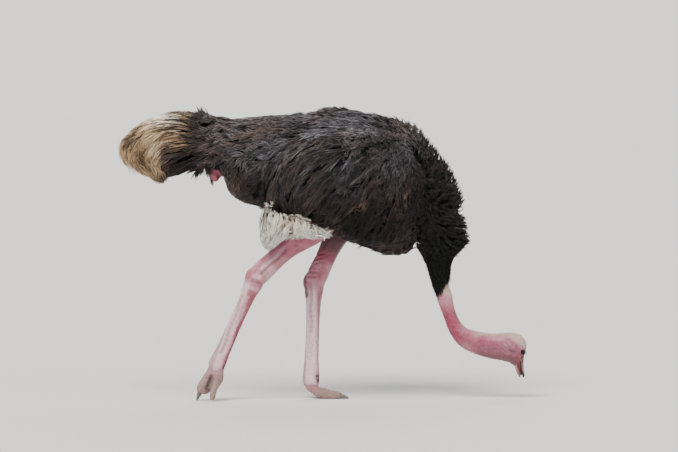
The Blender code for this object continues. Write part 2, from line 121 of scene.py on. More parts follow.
def in_edit_mode(*steps):
    """Calls each step in edit mode, on the whole of the selected objects."""
    bpy.ops.object.mode_set(mode="EDIT")
    bpy.ops.mesh.select_mode(type="VERT")
    bpy.ops.mesh.select_all(action="SELECT")
    for step in steps:
        step()
    bpy.ops.object.mode_set(mode="OBJECT")


def apply_modifier(obj, kind, **settings):
    modifier = obj.modifiers.new(kind.lower(), kind)
    for name, value in settings.items():
        setattr(modifier, name, value)
    select_only(obj)
    bpy.ops.object.modifier_apply(modifier=modifier.name)


def union_of_nodes(name, nodes, grid, overlap=OVERLAP):
    """One closed mesh round copies of these CAD nodes, on a grid of that size."""
    copies = []
    for node in nodes:
        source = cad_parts[node]
        copy = bpy.data.objects.new(f"{name}_{node}", source.data.copy())
        copy.data.materials.clear()
        bpy.context.scene.collection.objects.link(copy)
        copies.append(copy)
    select_only(*copies)
    in_edit_mode(lambda: bpy.ops.mesh.remove_doubles(threshold=0.00001))
    if len(copies) > 1:
        bpy.ops.object.join()
    union = bpy.context.active_object
    union.name = name
    union.data.name = name
    if overlap:
        apply_modifier(union, "DISPLACE", strength=overlap, mid_level=0.0)
    apply_modifier(union, "REMESH", mode="VOXEL", voxel_size=grid)
    for attribute in [a for a in union.data.attributes if a.name.startswith(("UVMap", "sharp"))]:
        union.data.attributes.remove(attribute)
    return union


def read(items, field, width, kind=np.float32):
    """A field of all the items of a mesh as rows of numbers."""
    values = np.empty(len(items) * width, kind)
    items.foreach_get(field, values)
    return values.reshape(-1, width) if width > 1 else values


def points_of(mesh):
    return read(mesh.vertices, "co", 3).astype(float)


def normals_of(mesh):
    return read(mesh.vertices, "normal", 3).astype(float)


def write_points(mesh, points):
    mesh.vertices.foreach_set("co", points.astype(np.float32).ravel())
    mesh.update()


def unit(vectors):
    length = np.linalg.norm(vectors, axis=-1, keepdims=True)
    return vectors / np.maximum(length, 1e-9)


def dot(a, b):
    return np.sum(a * b, axis=-1, keepdims=True)


def ramp(values, low, high):
    """0 below low, 1 above high, and a smooth step between them."""
    t = np.clip((values - low) / (high - low), 0, 1)
    return t * t * (3 - 2 * t)


def bump_round(points, centre, radius):
    """A soft hill of height 1 round a centre. Radius may be one number or three."""
    away = (points - np.array(centre)) / np.array(radius)
    return np.exp(-np.sum(away * away, axis=1))


def hill(values, centre, width):
    return np.exp(-(((values - centre) / width) ** 2))


def between(values, low, high, edge):
    """1 from low to high, falling to 0 over the edge at each end."""
    return ramp(values, low - edge, low) * ramp(-values, -high - edge, -high)


def from_line(points, start, stop):
    """How far points lie from a line in the side view, and the share of the way along it."""
    start, stop = np.array(start), np.array(stop)
    flat = points[:, (0, 2)]
    share = np.clip((flat - start) @ (stop - start) / np.sum((stop - start) ** 2), 0, 1)
    return np.linalg.norm(flat - start - share[:, None] * (stop - start), axis=1), share


def spread_over(mesh, values, rounds):
    """The values at a mesh's points, each averaged with its neighbours that many times."""
    edges = read(mesh.edges, "vertices", 2, np.int32)
    ends = np.concatenate([edges[:, 0], edges[:, 1]])
    others = np.concatenate([edges[:, 1], edges[:, 0]])
    count = np.maximum(np.bincount(ends, minlength=len(values)), 1)
    flat = values.ndim == 1
    table = values.reshape(len(values), -1).astype(float)
    for _ in range(rounds):
        sums = [np.bincount(ends, weights=column[others], minlength=len(values)) for column in table.T]
        table = 0.5 * table + 0.5 * np.stack(sums, axis=1) / count[:, None]
    return table[:, 0] if flat else table


# ---- Which sub-part a place belongs to -------------------------------------------------------------


class NodeFinder:
    """Names the CAD node that is nearest to a point."""

    def __init__(self, nodes):
        self.names = list(nodes)
        corners, faces, self.owner = [], [], []
        for index, node in enumerate(self.names):
            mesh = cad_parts[node].data
            start = len(corners)
            corners += [tuple(v.co) for v in mesh.vertices]
            faces += [[start + v for v in face.vertices] for face in mesh.polygons]
            self.owner += [index] * len(mesh.polygons)
        self.tree = BVHTree.FromPolygons(corners, faces)

    def find(self, points):
        """The index in names for each point."""
        return np.array([self.owner[self.tree.find_nearest(point)[2]] for point in points.tolist()])

    def masks(self, points):
        found = self.find(points)
        return {name: found == index for index, name in enumerate(self.names)}


class Form:
    """A surface that feathers grow towards and lie along."""

    def __init__(self, mesh, nodes):
        points = points_of(mesh)
        faces = [list(face.vertices) for face in mesh.polygons]
        self.tree = BVHTree.FromPolygons(points.tolist(), faces)
        self.normals = read(mesh.polygons, "normal", 3).astype(float)
        self.centres = read(mesh.polygons, "center", 3).astype(float)
        self.areas = read(mesh.polygons, "area", 1).astype(float)
        self.corners = points[np.array([(face + face[-1:])[:4] for face in faces])]
        self.masks = NodeFinder(nodes).masks(self.centres)
        bare = [self.masks[node] for node in nodes if node in LEG_NODES]
        self.bare = np.any(bare, axis=0) if bare else np.zeros(len(self.centres), bool)

    def nearest(self, points):
        """The nearest points of the form, and the normals there."""
        hits = [self.tree.find_nearest(point) for point in points.tolist()]
        places = np.array([hit[0] for hit in hits])
        return places, self.normals[np.array([hit[2] for hit in hits])]

    def on_bare(self, points):
        """Whether the nearest place of the form to each point is bare skin."""
        return self.bare[np.array([self.tree.find_nearest(point)[2] for point in points.tolist()])]

    def roots(self, nodes, spacing, rng, where=None):
        """Places spread evenly over those nodes, about a spacing apart, and where where(points) allows."""
        allowed = np.zeros(len(self.areas), bool)
        for node in nodes:
            allowed |= self.masks[node]
        chosen = np.flatnonzero(allowed)
        weights = self.areas[chosen]
        count = int(TRIES * weights.sum() / spacing**2)
        picked = rng.choice(chosen, count, p=weights / weights.sum())
        corners = self.corners[picked]
        u, v = rng.random((2, count, 1))
        low = corners[:, 0] * (1 - u) + corners[:, 1] * u
        high = corners[:, 3] * (1 - u) + corners[:, 2] * u
        points = low * (1 - v) + high * v
        if where is not None:
            points = points[rng.random(len(points)) < where(points)]
        cells = np.floor(points / spacing).astype(np.int64)
        _, first = np.unique(cells @ CELL_HASH, return_index=True)
        return points[np.sort(first)]


made_forms = {}


def outer_form(nodes=BODY_NODES + BARE_NODES + ("tail_plumes",) + LEG_NODES):
    """The bird's outer form, with its plumage."""
    if nodes not in made_forms:
        body = union_of_nodes("outer_form", nodes, COARSE)
        write_points(body.data, spread_over(body.data, points_of(body.data), 3))
        made_forms[nodes] = Form(body.data, nodes)
        bpy.data.objects.remove(body)
    return made_forms[nodes]


def skin_form():
    """The finished skin, for the down that lies right on it."""
    if "skin" not in made_forms:
        made_forms["skin"] = Form(bpy.data.objects["skin"].data, SKIN_NODES)
    return made_forms["skin"]


# ---- Markings, shared by the skin and the plumage --------------------------------------------------


def wave(points, *terms):
    """A smooth pattern between 0 and 1 from a few crossing waves: each term is (x, y, z, phase)."""
    total = sum(np.sin(points @ np.array(term[:3]) + term[3]) for term in terms)
    return 0.5 + 0.5 * total / len(terms)


# Streaks and patches of the black plumage. Each is a line in (x, z), how far it reaches on each side, the
# share that it adds to and how much. The brown ones are the plumage's own colour; those that add sheen are
# painted grey-blue highlights, most on the top of the wing.
COAT_LINES = (
    ((-0.010, 1.168), (-0.104, 1.130), 0.016, "brown", 0.90),
    ((-0.104, 1.130), (-0.160, 1.070), 0.013, "brown", 0.75),
    ((-0.076, 1.030), (-0.140, 0.994), 0.011, "brown", 0.85),
    ((-0.140, 0.994), (-0.176, 0.915), 0.011, "brown", 0.85),
    ((-0.210, 0.990), (-0.250, 0.850), 0.010, "brown", 0.60),
    ((-0.050, 1.062), (-0.095, 1.043), 0.008, "painted_sheen", 1.00),
    ((-0.060, 1.150), (-0.150, 1.100), 0.016, "painted_sheen", 0.45),
    ((-0.080, 1.020), (-0.170, 0.950), 0.010, "painted_sheen", 0.45),
    ((0.060, 1.290), (-0.250, 1.255), 0.020, "painted_sheen", 0.35),
    ((-0.060, 1.205), (0.100, 1.247), 0.022, "painted_sheen", 0.90),
    ((0.100, 1.247), (0.220, 1.200), 0.014, "painted_sheen", 1.00),
    ((0.080, 1.090), (0.120, 0.970), 0.050, "painted_sheen", 0.60),
    ((-0.370, 1.110), (-0.230, 1.130), 0.035, "painted_sheen", 0.60),
    ((-0.485, 1.200), (-0.455, 1.165), 0.025, "painted_sheen", 0.55),
    ((-0.420, 1.165), (-0.260, 1.225), 0.022, "brown", 0.50),
    ((-0.215, 1.222), (-0.172, 1.225), 0.012, "brown", 0.90),
    ((0.150, 0.895), (0.185, 0.895), 0.020, "brown", 1.10),
    ((0.315, 0.925), (0.318, 0.880), 0.012, "brown", 0.90),
    ((0.360, 0.930), (0.370, 0.880), 0.014, "brown", 0.70),
)


def coat_marks(points, luck, edge):
    """Shares of brown, tan, white and painted grey-blue sheen in the plumage's colour, and its painted
    light and shade.

    luck, from -1 to 1, lets a lock leave its neighbours' colour. edge is 1 at the edge of a feather's vane.
    """
    x, _, z = points.T
    patches = wave(points, (19, 7, 11, 0.3), (-9, 5, 23, 1.9), (31, -8, -17, 4.0))
    brown = 0.14 + 0.30 * ramp(patches, 0.40, 0.80) + 0.22 * luck
    # The sheen is a painted highlight, laid on more thickly high on the body, where the light falls.
    high = ramp(z, 0.86, 1.12)
    clouds = wave(points, (13, -11, 17, 2.2), (-23, 4, 9, 0.7))
    painted_sheen = 0.04 + 0.20 * high + 0.30 * ramp(clouds, 0.4, 0.9) * high
    painted_sheen += (0.10 + 0.20 * high) * luck
    shares = {"brown": brown + 0.25 * ramp(-x, 0.20, 0.50) * ramp(x, -0.62, -0.50), "painted_sheen": painted_sheen}
    for start, stop, width, name, amount in COAT_LINES:
        shares[name] += amount * hill(from_line(points, start, stop)[0], 0, width) * ramp(luck, -0.7, 0.1)
    front = ramp(x, 0.36, 0.48)
    brown = shares["brown"] * (1 - 0.50 * front) * (1 - 0.80 * front * ramp(-z, -0.80, -0.70))
    painted_sheen = shares["painted_sheen"] * (1 - 0.85 * front) * (1 - 0.65 * ramp(-x, 0.50, 0.58))
    top = ramp(z, 1.10, 1.25)
    tan = ramp(-x + 0.030 * luck + 0.040 * top, 0.700, 0.735)
    pale_edge = ramp(edge, 0.50, 0.62) * ramp(-x, 0.565, 0.630)
    pale_edge = pale_edge * ramp(z, 1.11, 1.16) * ramp(luck, -0.6, -0.1)
    tan = np.maximum(tan, 0.95 * pale_edge)
    tan *= 1 - 0.95 * ramp(-luck, 0.60, 0.80) * ramp(x, -0.84, -0.72)
    tan *= 1 - 0.90 * ramp(-z + 0.03 * luck, -1.060, -1.030) * ramp(x, -0.76, -0.71)
    shadow = ramp(wave(points, (47, 12, 31, 0.9), (-38, 15, 52, 2.7), (70, -20, -44, 5.0)), 0.52, 0.78)
    tan *= 1 - 0.70 * shadow * ramp(-x, 0.76, 0.82)
    white = tan * bump_round(points, (-0.705, 0.0, 1.265), (0.060, 0.3, 0.040)) * ramp(luck, -0.6, 0.1)
    white = np.maximum(white, 0.20 * tan * bump_round(points, (-0.750, 0.0, 1.150), (0.026, 0.3, 0.080)))
    white = np.maximum(white, 0.6 * tan * ramp(luck, 0.70, 0.95))
    brown = np.maximum(brown, 0.45 * ramp(-x, 0.600, 0.680))
    # This is painted light and shade: lighter on the top of the body, darker on its lower half, and darker
    # at the front of the breast.
    tone_and_shade = 0.9 * ramp(z, 1.02, 1.20) - 0.6 * ramp(-z, -0.95, -0.78)
    tone_and_shade = tone_and_shade - front * (1.1 + 0.6 * ramp(-z, -0.80, -0.70))
    tone_and_shade *= ramp(x, -0.70, -0.60)
    # Painted shadow in the core of the tail plumes; darker under the root of the tail, lighter at the top
    # of the tail.
    tone_and_shade -= 1.5 * bump_round(points, (-0.836, 0.0, 1.185), (0.055, 0.3, 0.070)) * ramp(luck, -0.9, 0.3)
    tone_and_shade -= 1.0 * bump_round(points, (-0.560, 0.0, 1.090), (0.070, 0.3, 0.080))
    tone_and_shade += 0.8 * bump_round(points, (-0.756, 0.0, 1.265), (0.060, 0.3, 0.035))
    return np.clip(np.stack([brown, tan, white, painted_sheen], axis=1), 0, 1), tone_and_shade


def down_marks(points, luck, edge):
    """The down of the head: beige where the skin is pale, with dark bristles elsewhere."""
    beige = np.clip(1.8 * beige_share(points) + 0.2 * luck, 0, 1)
    rest = np.zeros_like(luck)
    return np.clip(np.stack([rest + 0.8, beige, 0.45 * beige**2, rest], axis=1), 0, 1), rest


def beige_share(points):
    """1 on the beige crown and nape, 0 on the rest of the head and neck."""
    x, _, z = points.T
    top = ramp(z, 0.279, 0.295) * ramp(x, 0.66, 0.72)
    crown = ramp(0.557 * (x - 0.818) + 0.830 * (z - 0.279), -0.004, 0.020) * ramp(z, 0.185, 0.215)
    return np.clip(np.maximum(0.80 * top, 0.90 * crown), 0, 1)


def plume_marks(points, luck, edge):
    """The same shares for the white plumes of the wing: stained by earth, with a few dark locks behind."""
    x, _, z = points.T
    dark = ramp(-x, 0.20, 0.26) * ramp(luck, 0.25, 0.4) + ramp(luck, 0.88, 0.92)
    dark += ramp(z, 0.835, 0.860) * ramp(-luck, 0.5, 0.7)
    stain = 0.08 + 0.75 * bump_round(points, (-0.150, -0.25, 0.815), (0.045, 0.2, 0.020)) - 0.20 * luck
    stain += 0.40 * ramp(-luck, 0.45, 0.70)
    light = 1 - ramp(dark, 0.3, 0.7)
    white = np.clip(1 - stain, 0.04, 1) * light
    rest = np.zeros_like(x)
    return np.clip(np.stack([rest + 0.8, light, white, rest], axis=1), 0, 1), rest + 1.0


# ---- The way the plumage lies ----------------------------------------------------------------------

# Each guide is (x, z) and the way in (x, z) that the feathers point there.
BODY_LIE = (
    (0.400, 1.230, -0.90, 0.35),
    (0.250, 1.280, -1.00, 0.12),
    (0.050, 1.310, -1.00, 0.05),
    (-0.300, 1.270, -1.00, -0.02),
    (-0.500, 1.270, -1.00, 0.05),
    (-0.150, 1.200, -0.97, -0.22),
    (-0.300, 1.150, -0.88, -0.45),
    (-0.480, 1.180, -0.95, -0.20),
    (-0.300, 1.000, -0.70, -0.70),
    (-0.400, 0.970, -0.35, -0.93),
    (-0.330, 0.890, -0.40, -0.90),
    (-0.150, 0.860, -0.70, -0.70),
    (0.100, 0.740, -0.95, -0.30),
    (0.300, 0.680, -0.90, -0.30),
)
WING_LIE = (
    (0.420, 1.000, -0.30, -0.95),
    (0.380, 1.120, -0.55, -0.83),
    (0.280, 1.210, -0.93, -0.30),
    (0.100, 1.235, -0.99, -0.10),
    (-0.060, 1.200, -0.93, -0.35),
    (-0.170, 1.120, -0.75, -0.66),
    (-0.220, 1.000, -0.35, -0.94),
    (-0.230, 0.900, -0.10, -1.00),
    (0.000, 1.060, -0.78, -0.62),
    (0.180, 1.060, -0.70, -0.70),
    (0.350, 0.900, -0.25, -0.97),
    (0.180, 0.900, -0.50, -0.86),
    (0.000, 0.880, -0.50, -0.86),
    (0.200, 0.760, -0.40, -0.91),
)
BREAST_LIE = (
    (0.400, 1.220, -0.75, 0.50),
    (0.330, 1.120, -0.45, -0.70),
    (0.380, 1.060, 0.10, -0.99),
    (0.450, 1.170, 0.10, 0.98),
    (0.500, 1.110, 0.45, 0.90),
    (0.570, 1.020, 0.65, 0.76),
    (0.530, 0.930, 0.80, 0.45),
    (0.620, 0.900, 0.92, 0.38),
    (0.400, 0.940, -0.15, -0.99),
    (0.440, 0.880, 0.25, -0.97),
    (0.400, 0.820, -0.15, -0.99),
    (0.360, 0.740, -0.35, -0.94),
    (0.480, 0.800, 0.55, -0.80),
    (0.570, 0.800, 0.96, -0.20),
    (0.640, 0.770, 1.00, 0.06),
    (0.645, 0.690, 1.00, -0.12),
    (0.500, 0.690, 0.45, -0.85),
    (0.455, 0.640, 0.10, -1.00),
)
SLEEVE_LIE = ((0.52, 0.60, -0.05, 1.0), (0.54, 0.45, 0.10, 1.0))
TAIL_LIE = (
    (-0.560, 1.290, -0.97, 0.25),
    (-0.560, 1.180, -1.00, 0.06),
    (-0.560, 1.060, -0.85, -0.50),
    (-0.660, 1.290, -1.00, 0.04),
    (-0.660, 1.150, -0.97, -0.15),
    (-0.660, 1.020, -0.70, -0.70),
    (-0.760, 1.270, -0.95, -0.28),
    (-0.760, 1.150, -0.62, -0.78),
    (-0.760, 1.030, -0.20, -0.98),
    (-0.850, 1.220, -0.60, -0.80),
    (-0.900, 1.140, -0.12, -1.00),
    (-0.860, 1.060, -0.05, -1.00),
    (-0.800, 1.020, 0.05, -1.00),
)
PLUME_LIE = (
    (0.040, 0.780, 0.40, -0.90),
    (-0.060, 0.800, 0.15, -1.00),
    (-0.150, 0.800, -0.10, -1.00),
    (-0.250, 0.800, -0.22, -1.00),
)
FRINGE_LIE = (
    (-0.250, 0.870, 0.25, 0.95),
    (-0.250, 0.830, -0.40, 0.80),
    (-0.110, 0.860, -0.80, 0.50),
    (-0.020, 0.800, -0.90, 0.10),
)
CREST_LIE = ((-0.545, 1.290, -0.60, 0.80), (-0.520, 1.280, -0.30, 0.95))
VENT_LIE = ((-0.540, 1.030, -0.10, -1.00), (-0.460, 1.020, -0.65, -0.75))
HEAD_LIE = (
    (0.910, 0.230, -0.20, 1.00),
    (0.900, 0.270, -0.50, 0.85),
    (0.860, 0.295, -1.00, 0.25),
    (0.780, 0.290, -1.00, 0.00),
    (0.680, 0.290, -0.98, 0.10),
    (0.600, 0.330, -0.75, 0.65),
    (0.545, 0.420, -0.20, 0.98),
    (0.850, 0.220, -0.80, 0.60),
)


GUIDE_BLUR = 0.0004  # keeps a guide from ruling the places right beside it, in square metres


def lie_at(points, guides):
    """The way the feathers point at these points, from the nearest guides."""
    table = np.array(guides)
    away = (points[:, None, 0] - table[None, :, 0]) ** 2 + (points[:, None, 2] - table[None, :, 1]) ** 2
    weights = 1 / (away + GUIDE_BLUR) ** 2
    weights /= weights.sum(axis=1, keepdims=True)
    flat = weights @ table[:, 2:]
    return unit(np.stack([flat[:, 0], np.zeros(len(flat)), flat[:, 1]], axis=1))


# ---- Feathers --------------------------------------------------------------------------------------

# One kind of feather. Lengths are in metres. barbs is the number of locks on a feather, reach is how far
# the vane goes out from the shaft, and run is how far along it a lock goes, as shares of the length.
# depth is how far the root lies under the outer form, lift how far the tip stands over it, and stray
# the spread of the lie in radians. frizz is how far a lock wanders and gather how much the locks close in
# at their tips, as shares of the reach. droop is how far the tip hangs, and stand how steeply the feather
# rises, as shares of the length. ruffle is how unevenly deep the feathers lie, hollow how much deeper whole
# clumps of them do, swirl how far a clump turns from the lie, in radians, and hold how closely a shaft
# keeps to the outer form's curve, from 0 to 1.
Feather = namedtuple(
    "Feather",
    "length barbs reach run width depth lift stray frizz gather droop stand ruffle knots hollow swirl hold",
    defaults=(0.45, 0.0, 0.0, 0.0025, 4, 0.006, 0.25, 0.65),
)
STATIONS = 7  # along a shaft


def clumps(points):
    """How deep the clump at each point lies, from 0 to 1, and which way it turns, from -1 to 1."""
    deep = wave(points, (61, 33, -45, 1.0), (-47, 39, 67, 3.1), (29, -53, 31, 5.2))
    turned = 2 * wave(points, (33, 19, -27, 0.4), (-23, 31, 39, 2.0), (55, -26, 21, 4.1)) - 1
    return deep[:, None], turned[:, None]


def follow(form, roots, feather, guides, sizes, rng):
    """The shafts: points, side vectors and normals at each station from root to tip."""
    place, normal = form.nearest(roots)
    deep, turned = clumps(place)
    turn = rng.normal(0, feather.stray, (len(roots), 1)) + feather.swirl * turned
    curl = 0.8 * feather.swirl * rng.normal(0, 1, (len(roots), 1))
    phase = rng.uniform(0, math.tau, (len(roots), 1))
    lift = feather.lift * rng.uniform(0.3, 1.2, (len(roots), 1))
    step = sizes[:, None] * (1 - feather.stand) / (STATIONS - 1)
    rise = 1.6 - 0.7 * feather.stand
    sink = np.abs(rng.normal(0, feather.ruffle, (len(roots), 1))) + feather.hollow * deep
    shaft = []
    for k in range(STATIONS):
        way = lie_at(place, guides)
        way = unit(way - dot(way, normal) * normal)
        share = k / (STATIONS - 1)
        angle = turn + curl * np.sin(phase + 5.0 * share)
        way = unit(way * np.cos(angle) + np.cross(normal, way) * np.sin(angle))
        height = -feather.depth * (1 - share) ** rise + lift * share**2 - sink * share
        drop = np.array([0.0, 0.0, -feather.droop]) * sizes[:, None] * share**2
        shaft.append((place + normal * height + drop, np.cross(normal, way), normal))
        ahead = place + way * step
        found, found_normal = form.nearest(ahead)
        pull = found - ahead
        size = np.linalg.norm(pull, axis=1, keepdims=True)
        place = ahead + pull * np.minimum(1, feather.hold * step / np.maximum(size, 1e-9))
        normal = unit(normal + found_normal * 0.9)
    return [np.stack(part, axis=1) for part in zip(*shaft)]


def along(rows, share):
    """Rows of stations read at a share of the length, which may pass the tip. rows: (n, stations, 3)."""
    at = np.clip(share * (STATIONS - 1), 0, None)
    low = np.minimum(at.astype(int), STATIONS - 2)
    rest = (at - low)[..., None]
    index = np.arange(len(rows)).reshape(-1, *[1] * (share.ndim - 1))
    return rows[index, low] * (1 - rest) + rows[index, low + 1] * rest


PAST_TIP = 1.04  # how far a lock may go, where the shaft's tip is 1


def locks_of(form, roots, feather, guides, rng):
    """The locks of these feathers, but not of feathers that would lie over bare skin.

    Returns the locks' centre lines, sides, normals and widths, then the feathers' roots, and for each lock
    its feather and its place on the vane.
    """
    low, high = feather.length
    sizes = rng.uniform(low, high, len(roots))
    points, sides, normals = follow(form, roots, feather, guides, sizes, rng)
    kept = ~form.on_bare(points[:, STATIONS // 2]) & ~form.on_bare(points[:, -1])
    roots, points, sides, normals = roots[kept], points[kept], sides[kept], normals[kept]
    barbs, knots = feather.barbs, feather.knots
    each = (len(roots), barbs, 1)
    start = np.linspace(0.05, 1.05 - 0.80 * feather.run, barbs)[None, :, None] + rng.normal(0, 0.04, each)
    hand = np.where(np.arange(barbs) % 2 == 0, 1.0, -1.0)[None, :, None]
    spread = rng.uniform(0.15, 1.1, each)
    t = np.linspace(0, 1, knots)[None, None, :]
    vane = np.sin(math.pi * np.clip(0.20 + 0.75 * start, 0, 1))
    out = hand * spread * feather.reach * vane * np.sin(0.5 * math.pi * t) ** 1.2
    out = out * (1 - feather.gather * np.clip(start + feather.run * t, 0, 1.3) ** 2)
    phase = rng.uniform(0, math.tau, each)
    out = out + feather.frizz * feather.reach * t * np.sin(phase + 4.0 * t)
    share = start + np.minimum(feather.run * rng.uniform(0.7, 1.25, each), PAST_TIP - start) * t
    centre = along(points, share)
    side = unit(along(sides, share))
    normal = unit(along(normals, share))
    loft = rng.normal(0, 0.0016, each) + feather.frizz * 0.35 * feather.reach * t * np.cos(phase)
    centre = centre + side * out[..., None] + normal * loft[..., None]
    flat = (-1, knots, 3)
    owner = np.repeat(np.arange(len(roots)), barbs)
    widths = feather.width * rng.uniform(0.7, 1.25, len(owner))
    shapes = centre.reshape(flat), side.reshape(flat), normal.reshape(flat), widths
    return *shapes, roots, owner, spread.ravel()


THICKNESS = 0.42  # of a lock, as a share of its width
SECTION = np.array(((-0.5, -0.25), (0.5, -0.25), (0.0, 0.55)))  # a lock's three corners, across and up
BAKE_PATCH = 0.003  # side of the patch that each lock has in its bake map


def unwrap_of(points):
    """Where points lie on the body unrolled round its long axis: along it and round it."""
    middle = points.mean(axis=0)
    span = np.ptp(points, axis=0)
    around = np.arctan2(points[:, 1], points[:, 2] - middle[2]) / math.tau + 0.5
    lengthwise = (points[:, 0] - points[:, 0].min()) / span[0]
    return np.stack([0.01 + 0.98 * lengthwise, 0.01 + 0.98 * around], axis=1)


def lock_shapes(centre, side, normal, widths):
    """Closed three-sided locks that taper to a point: their points and faces, and where each point lies."""
    count, knots, _ = centre.shape
    rings = knots - 1
    profile = np.interp(np.arange(rings) / rings, (0, 0.3, 0.7, 1), (0.55, 1.0, 0.80, 0.3))
    width = widths[:, None] * profile[None, :]
    ring = (
        centre[:, :rings, None, :]
        + side[:, :rings, None, :] * (width[..., None, None] * SECTION[None, None, :, :1])
        + normal[:, :rings, None, :] * (width[..., None, None] * THICKNESS * SECTION[None, None, :, 1:] * 2)
    )
    points = np.concatenate([ring.reshape(count, 3 * rings, 3), centre[:, -1:, :]], axis=1)
    faces = [(0, 2, 1)]
    for k in range(rings - 1):
        for a in range(3):
            b = (a + 1) % 3
            faces.append((3 * k + a, 3 * k + b, 3 * k + 3 + b, 3 * k + 3 + a))
    last = 3 * (rings - 1)
    faces += [(last + a, last + (a + 1) % 3, last + 3) for a in range(3)]
    run = np.append(np.repeat(np.arange(rings) / rings, 3), 1.0)
    around = np.append(np.tile((0.0, 0.5, 1.0), rings), 0.5)
    return points, faces, run, around


def lock_mesh(name, batches):
    """One mesh of all the locks, with their markings and their bake map."""
    roots = np.concatenate([batch[0][:, 0] for batch in batches])
    places = np.split(unwrap_of(roots), np.cumsum([len(batch[0]) for batch in batches])[:-1])
    made = []
    offset = 0
    for (centre, side, normal, widths, marks, tones_and_shade), place in zip(batches, places):
        points, faces, run, around = lock_shapes(centre, side, normal, widths)
        count, size, _ = points.shape
        base = offset + size * np.arange(count)[:, None]
        loops = (base + np.array([v for face in faces for v in face])).ravel()
        lengths = np.tile([len(face) for face in faces], count)
        patch = place[:, None, :] + BAKE_PATCH * (np.stack([run, around], axis=1)[None] - 0.5)
        long = np.linalg.norm(centre[:, -1] - centre[:, 0], axis=1)
        fibre = (np.outer(widths, around), np.outer(long, run), np.repeat(tones_and_shade[:, None], size, axis=1))
        fibre = np.stack(fibre, axis=2).reshape(-1, 3)
        every = (np.repeat(marks, size, axis=0), np.tile(run, count), np.repeat(tones_and_shade, size), fibre)
        made.append((points.reshape(-1, 3), loops, lengths, patch.reshape(-1, 2), *every))
        offset += count * size
    points, loops, lengths, patch, marks, run, tones_and_shade, fibre = (np.concatenate(part) for part in zip(*made))
    mesh = bpy.data.meshes.new(name)
    mesh.vertices.add(len(points))
    mesh.vertices.foreach_set("co", points.astype(np.float32).ravel())
    mesh.loops.add(len(loops))
    mesh.loops.foreach_set("vertex_index", loops.astype(np.int32))
    mesh.polygons.add(len(lengths))
    starts = np.cumsum(lengths) - lengths
    mesh.polygons.foreach_set("loop_start", starts.astype(np.int32))
    mesh.update(calc_edges=True)
    bake_map = mesh.uv_layers.new(name="OFBake")
    bake_map.uv.foreach_set("vector", patch[loops].astype(np.float32).ravel())
    set_attribute(mesh, "coat_marks", "FLOAT_COLOR", marks)
    set_attribute(mesh, "coat_run", "FLOAT", run)
    # Besides random lightness, this holds the painted light and shade of the plumage.
    set_attribute(mesh, "coat_tone_and_shade", "FLOAT", tones_and_shade)
    set_attribute(mesh, "coat_fibre", "FLOAT_VECTOR", fibre)
    mesh.shade_smooth()
    return mesh


def tell_size(obj):
    """Prints how many triangles a piece has, because a piece stays under 200,000."""
    triangles = sum(len(face.vertices) - 2 for face in obj.data.polygons)
    print(f"{obj.name}: {triangles} triangles")


def set_attribute(mesh, name, kind, values):
    attribute = mesh.attributes.new(name, kind, "POINT")
    field = {"FLOAT_COLOR": "color", "FLOAT_VECTOR": "vector"}.get(kind, "value")
    attribute.data.foreach_set(field, values.astype(np.float32).ravel())


def grow(name, batches, material, replaced=(), form=None, marking=coat_marks):
    """Grows one coat piece from batches of (nodes, spacing, feather, guides, where, seed)."""
    form = form or outer_form()
    parts = []
    for nodes, spacing, feather, guides, where, seed in batches:
        rng = np.random.default_rng(seed)
        roots = form.roots(nodes, spacing, rng, where)
        locks = locks_of(form, roots, feather, guides, rng)
        centre, side, normal, widths, roots, owner, edge = locks
        deep, _ = clumps(roots)
        # Random lightness for each feather and lock, painted shade on the clumps that lie deeper, and a
        # painted highlight along the vanes' edges.
        shade = (rng.normal(0, 0.9, len(roots)) - 3.0 * (deep[:, 0] - 0.5))[owner]
        shade += rng.normal(0, 0.8, len(owner)) + 1.2 * (edge - 0.6)
        shared = rng.uniform(-1, 1, len(roots))[owner]
        luck = np.clip(0.6 * shared + 0.5 * rng.uniform(-1, 1, len(owner)), -1, 1)
        marks, tone_and_shade = marking(centre[:, 1], luck, edge)
        parts.append((centre, side, normal, widths, marks, shade + tone_and_shade))
    coat_piece(name, parts, material, replaced)


def coat_piece(name, parts, material, replaced=()):
    """Makes the object of all these locks."""
    mesh = lock_mesh(name, parts)
    obj = bpy.data.objects.new(name, mesh)
    bpy.context.scene.collection.objects.link(obj)
    mesh.materials.append(material)
    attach(obj, "root")
    if replaced:
        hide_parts(*replaced)
    tell_size(obj)


# ---- Materials -------------------------------------------------------------------------------------


